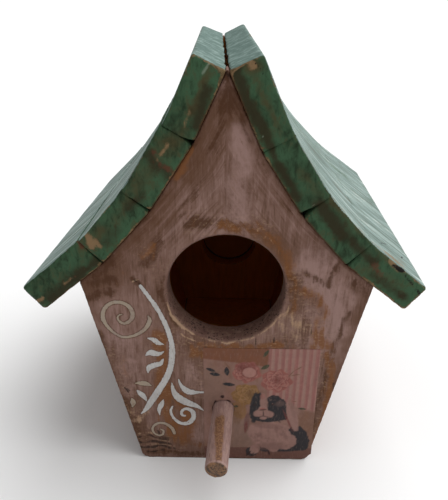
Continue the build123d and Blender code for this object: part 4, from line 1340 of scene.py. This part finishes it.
def makePrint():
    low, high = np.array(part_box("paper_print")[0]) / mm, np.array(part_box("paper_print")[1]) / mm
    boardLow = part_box("front_board")[0][1] / mm
    wide, tall = high[0] - low[0], high[2] - low[2]
    bpy.ops.object.select_all(action="DESELECT")
    bpy.ops.mesh.primitive_grid_add(
        x_subdivisions=int(wide / printArt["grid"]), y_subdivisions=int(tall / printArt["grid"]), size=1,
        location=((low[0] + high[0]) / 2 * mm, boardLow * mm, (low[2] + high[2]) / 2 * mm),
        rotation=(math.radians(90), 0, 0))
    piece = bpy.context.object
    piece.name = piece.data.name = "paper_print_sheet"
    piece.scale = (wide * mm, tall * mm, 1)
    bpy.ops.object.transform_apply(location=True, rotation=True, scale=True)
    # trimmed to the board's leaning edge, as the CAD sheet is
    corners = np.array([v.co[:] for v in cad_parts["paper_print"].data.vertices]) / mm
    rightFoot = corners[corners[:, 2] < low[2] + 0.01][:, 0].max()
    topOfLean = corners[corners[:, 0] > high[0] - 0.01][:, 2].min()
    direction = np.array([high[0] - rightFoot, topOfLean - low[2]])
    pick(piece)
    bpy.ops.object.mode_set(mode="EDIT")
    bpy.ops.mesh.select_all(action="SELECT")
    bpy.ops.mesh.bisect(plane_co=(rightFoot * mm, 0, low[2] * mm), plane_no=(direction[1], 0, -direction[0]),
                        clear_outer=True)
    bpy.ops.object.mode_set(mode="OBJECT")
    # the perch comes through
    hole = corners[(corners[:, 0] > low[0] + 0.5) & (corners[:, 0] < rightFoot - 12)]
    hole = hole[(hole[:, 2] > low[2] + 8) & (hole[:, 2] < high[2] - 8)]
    centre = (hole.min(axis=0) + hole.max(axis=0)) / 2
    radius = (hole.max(axis=0) - hole.min(axis=0))[[0, 2]] / 2
    points = readPoints(piece)
    reach = np.linalg.norm((points[:, [0, 2]] - centre[[0, 2]]) / radius, axis=1)
    cutOut, drawnIn = printArt["perchRim"]
    piece.data.vertices.foreach_set("select", reach < cutOut)
    bpy.ops.object.mode_set(mode="EDIT")
    bpy.ops.mesh.select_mode(type="VERT")
    bpy.ops.mesh.delete(type="VERT")
    bpy.ops.object.mode_set(mode="OBJECT")
    # the ragged rim is drawn onto the hole
    points = readPoints(piece)
    offset = (points[:, [0, 2]] - centre[[0, 2]]) / radius
    reach = np.linalg.norm(offset, axis=1)
    near = reach < drawnIn
    for axis, side in ((0, 0), (2, 1)):
        rim = offset[near, side] / reach[near] * radius[side] * np.maximum(reach[near], 1.0)
        points[near, axis] = centre[axis] + rim
    writePoints(piece, points)
    # a thickness, set just off the board, and slight crinkles on its face
    applyModifier(piece, "SOLIDIFY", thickness=printArt["thickness"] * mm, offset=1.0, use_even_offset=False)
    points = readPoints(piece)
    points[:, 1] += boardLow - printArt["gap"] - points[:, 1].max()
    flat = points[:, [0, 2]]
    front = points[:, 1] < boardLow - 0.1
    points[front, 1] -= printArt["crinkle"] * (layeredNoise(deepen(flat)[front], 6, 44) + 1) * 0.5
    writePoints(piece, points)
    colours = piece.data.color_attributes.new("art", "FLOAT_COLOR", "POINT")
    rgba = np.ones((len(flat), 4), np.float32)
    rgba[:, :3] = paintPrint(flat)
    colours.data.foreach_set("color", rgba.ravel())
    piece.data.shade_smooth()
    pick(piece)
    bpy.ops.object.mode_set(mode="EDIT")
    bpy.ops.mesh.select_all(action="SELECT")
    bpy.ops.mesh.normals_make_consistent(inside=False)
    bpy.ops.object.mode_set(mode="OBJECT")
    bpy.ops.object.shade_smooth_by_angle(angle=math.radians(40))
    finish = Finish("paper_look")
    art = finish.mask("art", "Color")
    here = finish.place()
    fibre = finish.noise(finish.place(scale=(1, 1, 0.3)), 0.8, 3, 0.6)
    crinkle = finish.noise(here, 4, 4, 0.6, 0.3)
    colour = finish.mix(fibre.step(0.5, 0.75) * 0.22, art, printArt["fibre"])
    colour = finish.mix((crinkle + fibre * 0.5).step(0.88, 1.0) * 0.35, colour, printArt["crease"])
    bump = finish.bump(fibre * 0.4 + crinkle, 0.10, 0.6)
    piece.data.materials.append(finish.end(colour, 0.52 + crinkle * 0.16, bump, Specular_IOR_Level=0.28))
    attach(piece, "house")
    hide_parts("paper_print")
    return piece


printPiece = makePrint()
print("print:", len(printPiece.data.polygons), "faces")


# clean-out cover, screw, washer and brads

coverWood = {
    "voxel": 0.5,
    "wear": 0.25,
    "stainAndLightDepth": (0.3, 0.8),  # the stain on the inner face, brightened as painted light, ends this far behind it
}


def makeCover():
    piece = copyNode("cleanout_cover", "cleanout_cover_wood")
    evenFaces(piece, coverWood["voxel"])
    soft, normals, proud = easeEdges(piece)
    arris = ease(proud, 0.04, 0.3)
    worn = ease(layeredNoise(soft, 5, 61), 0.05, 0.7) * arris
    writePoints(piece, soft - normals * (coverWood["wear"] * worn)[:, None])
    addMask(piece, "arris", arris)
    finish, colour, rubbed, height, noises = mauvePaint("cover_paint_look", strokes=False)
    green = finish.mix(noises["cloudy"].step(0.4, 0.6), roof["green"], roof["aqua"])
    green = finish.mix(noises["brushed"].step(0.5, 0.7) * 0.5, green, roof["olive"])
    flaked = (noises["patchy"] + noises["speck"] * 0.4).step(0.78, 0.92)
    colour = finish.mix((1 - rubbed) * (1 - flaked * 0.8), colour, green)
    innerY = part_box("cleanout_cover")[0][1] / mm
    addMask(piece, "inside", fade(soft[:, 1], *(innerY + depth for depth in coverWood["stainAndLightDepth"])))
    # painted light: the cover's inner face gets the same brightened inside stain
    colour = finish.mix(finish.mask("inside"), colour, frontBoard["insideDark"])
    bump = finish.bump(height, 0.16, 0.8)
    roughness = 0.55 + noises["patchy"] * 0.2
    piece.data.materials.append(finish.end(colour, roughness, bump, Specular_IOR_Level=0.28))
    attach(piece, "cover")
    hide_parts("cleanout_cover")


steel = {
    "screw_steel_look": {"bright": (0.55, 0.53, 0.50), "rust": (0.19, 0.075, 0.03),
                         "rustShare": 0.25, "roughness": 0.32},
    "brad_steel_look": {"bright": (0.32, 0.29, 0.26), "rust": (0.16, 0.06, 0.025),
                        "rustShare": 0.8, "roughness": 0.45},
}


def steelLook(name):
    look = steel[name]
    bright, rust = look["bright"], look["rust"]
    finish = Finish(name)
    here = finish.place()
    cloudy = finish.noise(here, 2.2, 4, 0.6)
    speck = finish.noise(here, 0.35, 4, 0.65)
    turned = finish.noise(finish.place(scale=(1, 0.15, 1)), 0.5, 2, 0.5)
    share = look["rustShare"]
    spots = (cloudy * 0.6 + speck * 0.5).step(0.62 - share * 0.3, 0.72 - share * 0.2)
    colour = finish.mix(turned.step(0.35, 0.7), tuple(c * 0.7 for c in bright), bright)
    colour = finish.mix(spots, colour, finish.mix(speck.step(0.4, 0.6), tuple(c * 0.4 for c in rust), rust))
    bump = finish.bump(speck * 0.5 + spots, 0.05, 0.6)
    return finish.end(colour, look["roughness"] + spots * 0.35, bump, metallic=1 - spots * 0.9)


def dressNode(nodeName, material):
    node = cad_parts[nodeName]
    node.data.materials.clear()
    node.data.materials.append(material)


makeCover()
screwSteel, bradSteel = steelLook("screw_steel_look"), steelLook("brad_steel_look")
dressNode("cover_screw", screwSteel)
dressNode("cover_washer", screwSteel)
for nodeName in ("roof_brads", "wall_brads", "floor_brads"):
    dressNode(nodeName, bradSteel)
print("cover and metal done")


# floor, lights and camera

studio = {
    "floorSize": 30,  # metres
    "floorTint": (0.86, 0.86, 0.86),
    "floorShade": (0.8, 0.8, 0.8),
    "skyColour": (1.0, 1.0, 1.0),
    "skyHigh": 0.55,  # strength overhead
    "skyLow": 0.24,  # strength at the horizon
    "backdrop": 1.1,
    "lampStrength": 3.0,
    "lampSpread": 75,  # degrees
    "lampFrom": (0.52, 0.22, 0.80),
    "lens": 38.297,
    "sensor": 36,
    "cameraPlace": (2.13, -273.61, 201.25),
    "yaw": 0.907, "pitch": 24.139, "roll": 0.276,  # degrees
}

bpy.ops.object.select_all(action="DESELECT")
bpy.ops.mesh.primitive_plane_add(size=studio["floorSize"], location=(0, 0, 0))
floor = bpy.context.object
floor.name = "studio_floor"
floorFinish = Finish("floor_look")
floorNoise = floorFinish.noise(floorFinish.place(), 400, 2, 0.5)
floorColour = floorFinish.mix(floorNoise * 0.06, studio["floorTint"], studio["floorShade"])
floor.data.materials.append(floorFinish.end(floorColour, 0.9, Specular_IOR_Level=0.0))

world = bpy.data.worlds.new("studio_world")
bpy.context.scene.world = world
worldFinish = Finish(world)
background = worldFinish.tree.nodes["Background"]
# brighter overhead than at the horizon, and plain white behind
direction = worldFinish.node("ShaderNodeTexCoord", {}, {}, out="Generated")
rise = worldFinish.node("ShaderNodeSeparateXYZ", {}, {0: direction}, out=2)
strength = rise.step(0.0, 0.9) * (studio["skyHigh"] - studio["skyLow"]) + studio["skyLow"]
seen = worldFinish.node("ShaderNodeLightPath", {}, {}, out="Is Camera Ray")
strength = seen * studio["backdrop"] + (1 - seen) * strength
background.inputs["Color"].default_value = studio["skyColour"] + (1.0,)
worldFinish.tree.links.new(strength.socket, background.inputs["Strength"])

overhead = bpy.data.lights.new("overhead", "SUN")
overhead.energy = studio["lampStrength"]
overhead.angle = math.radians(studio["lampSpread"])
overheadLamp = bpy.data.objects.new("overhead", overhead)
overheadLamp.rotation_euler = Vector(studio["lampFrom"]).to_track_quat("Z", "Y").to_euler()
bpy.context.collection.objects.link(overheadLamp)

# the camera looks forward, turned by its yaw, pitch and roll
yaw, pitch, roll = (math.radians(studio[a]) for a in ("yaw", "pitch", "roll"))
forward = Vector((-math.sin(yaw) * math.cos(pitch), math.cos(yaw) * math.cos(pitch), -math.sin(pitch)))
level = Vector((math.cos(yaw), math.sin(yaw), 0))
upward = level.cross(forward)
rightward = level * math.cos(roll) + upward * math.sin(roll)
topward = upward * math.cos(roll) - level * math.sin(roll)
camera = bpy.data.cameras.new("camera")
camera.lens = studio["lens"]
camera.sensor_width = studio["sensor"]
camera.clip_start = 0.01
cameraObject = bpy.data.objects.new("camera", camera)
turned = Matrix((rightward, topward, -forward)).transposed().to_4x4()
cameraObject.matrix_world = Matrix.Translation(Vector(studio["cameraPlace"]) * mm) @ turned
bpy.context.collection.objects.link(cameraObject)
bpy.context.scene.camera = cameraObject
bpy.context.scene.view_settings.view_transform = "Standard"
print("studio done")
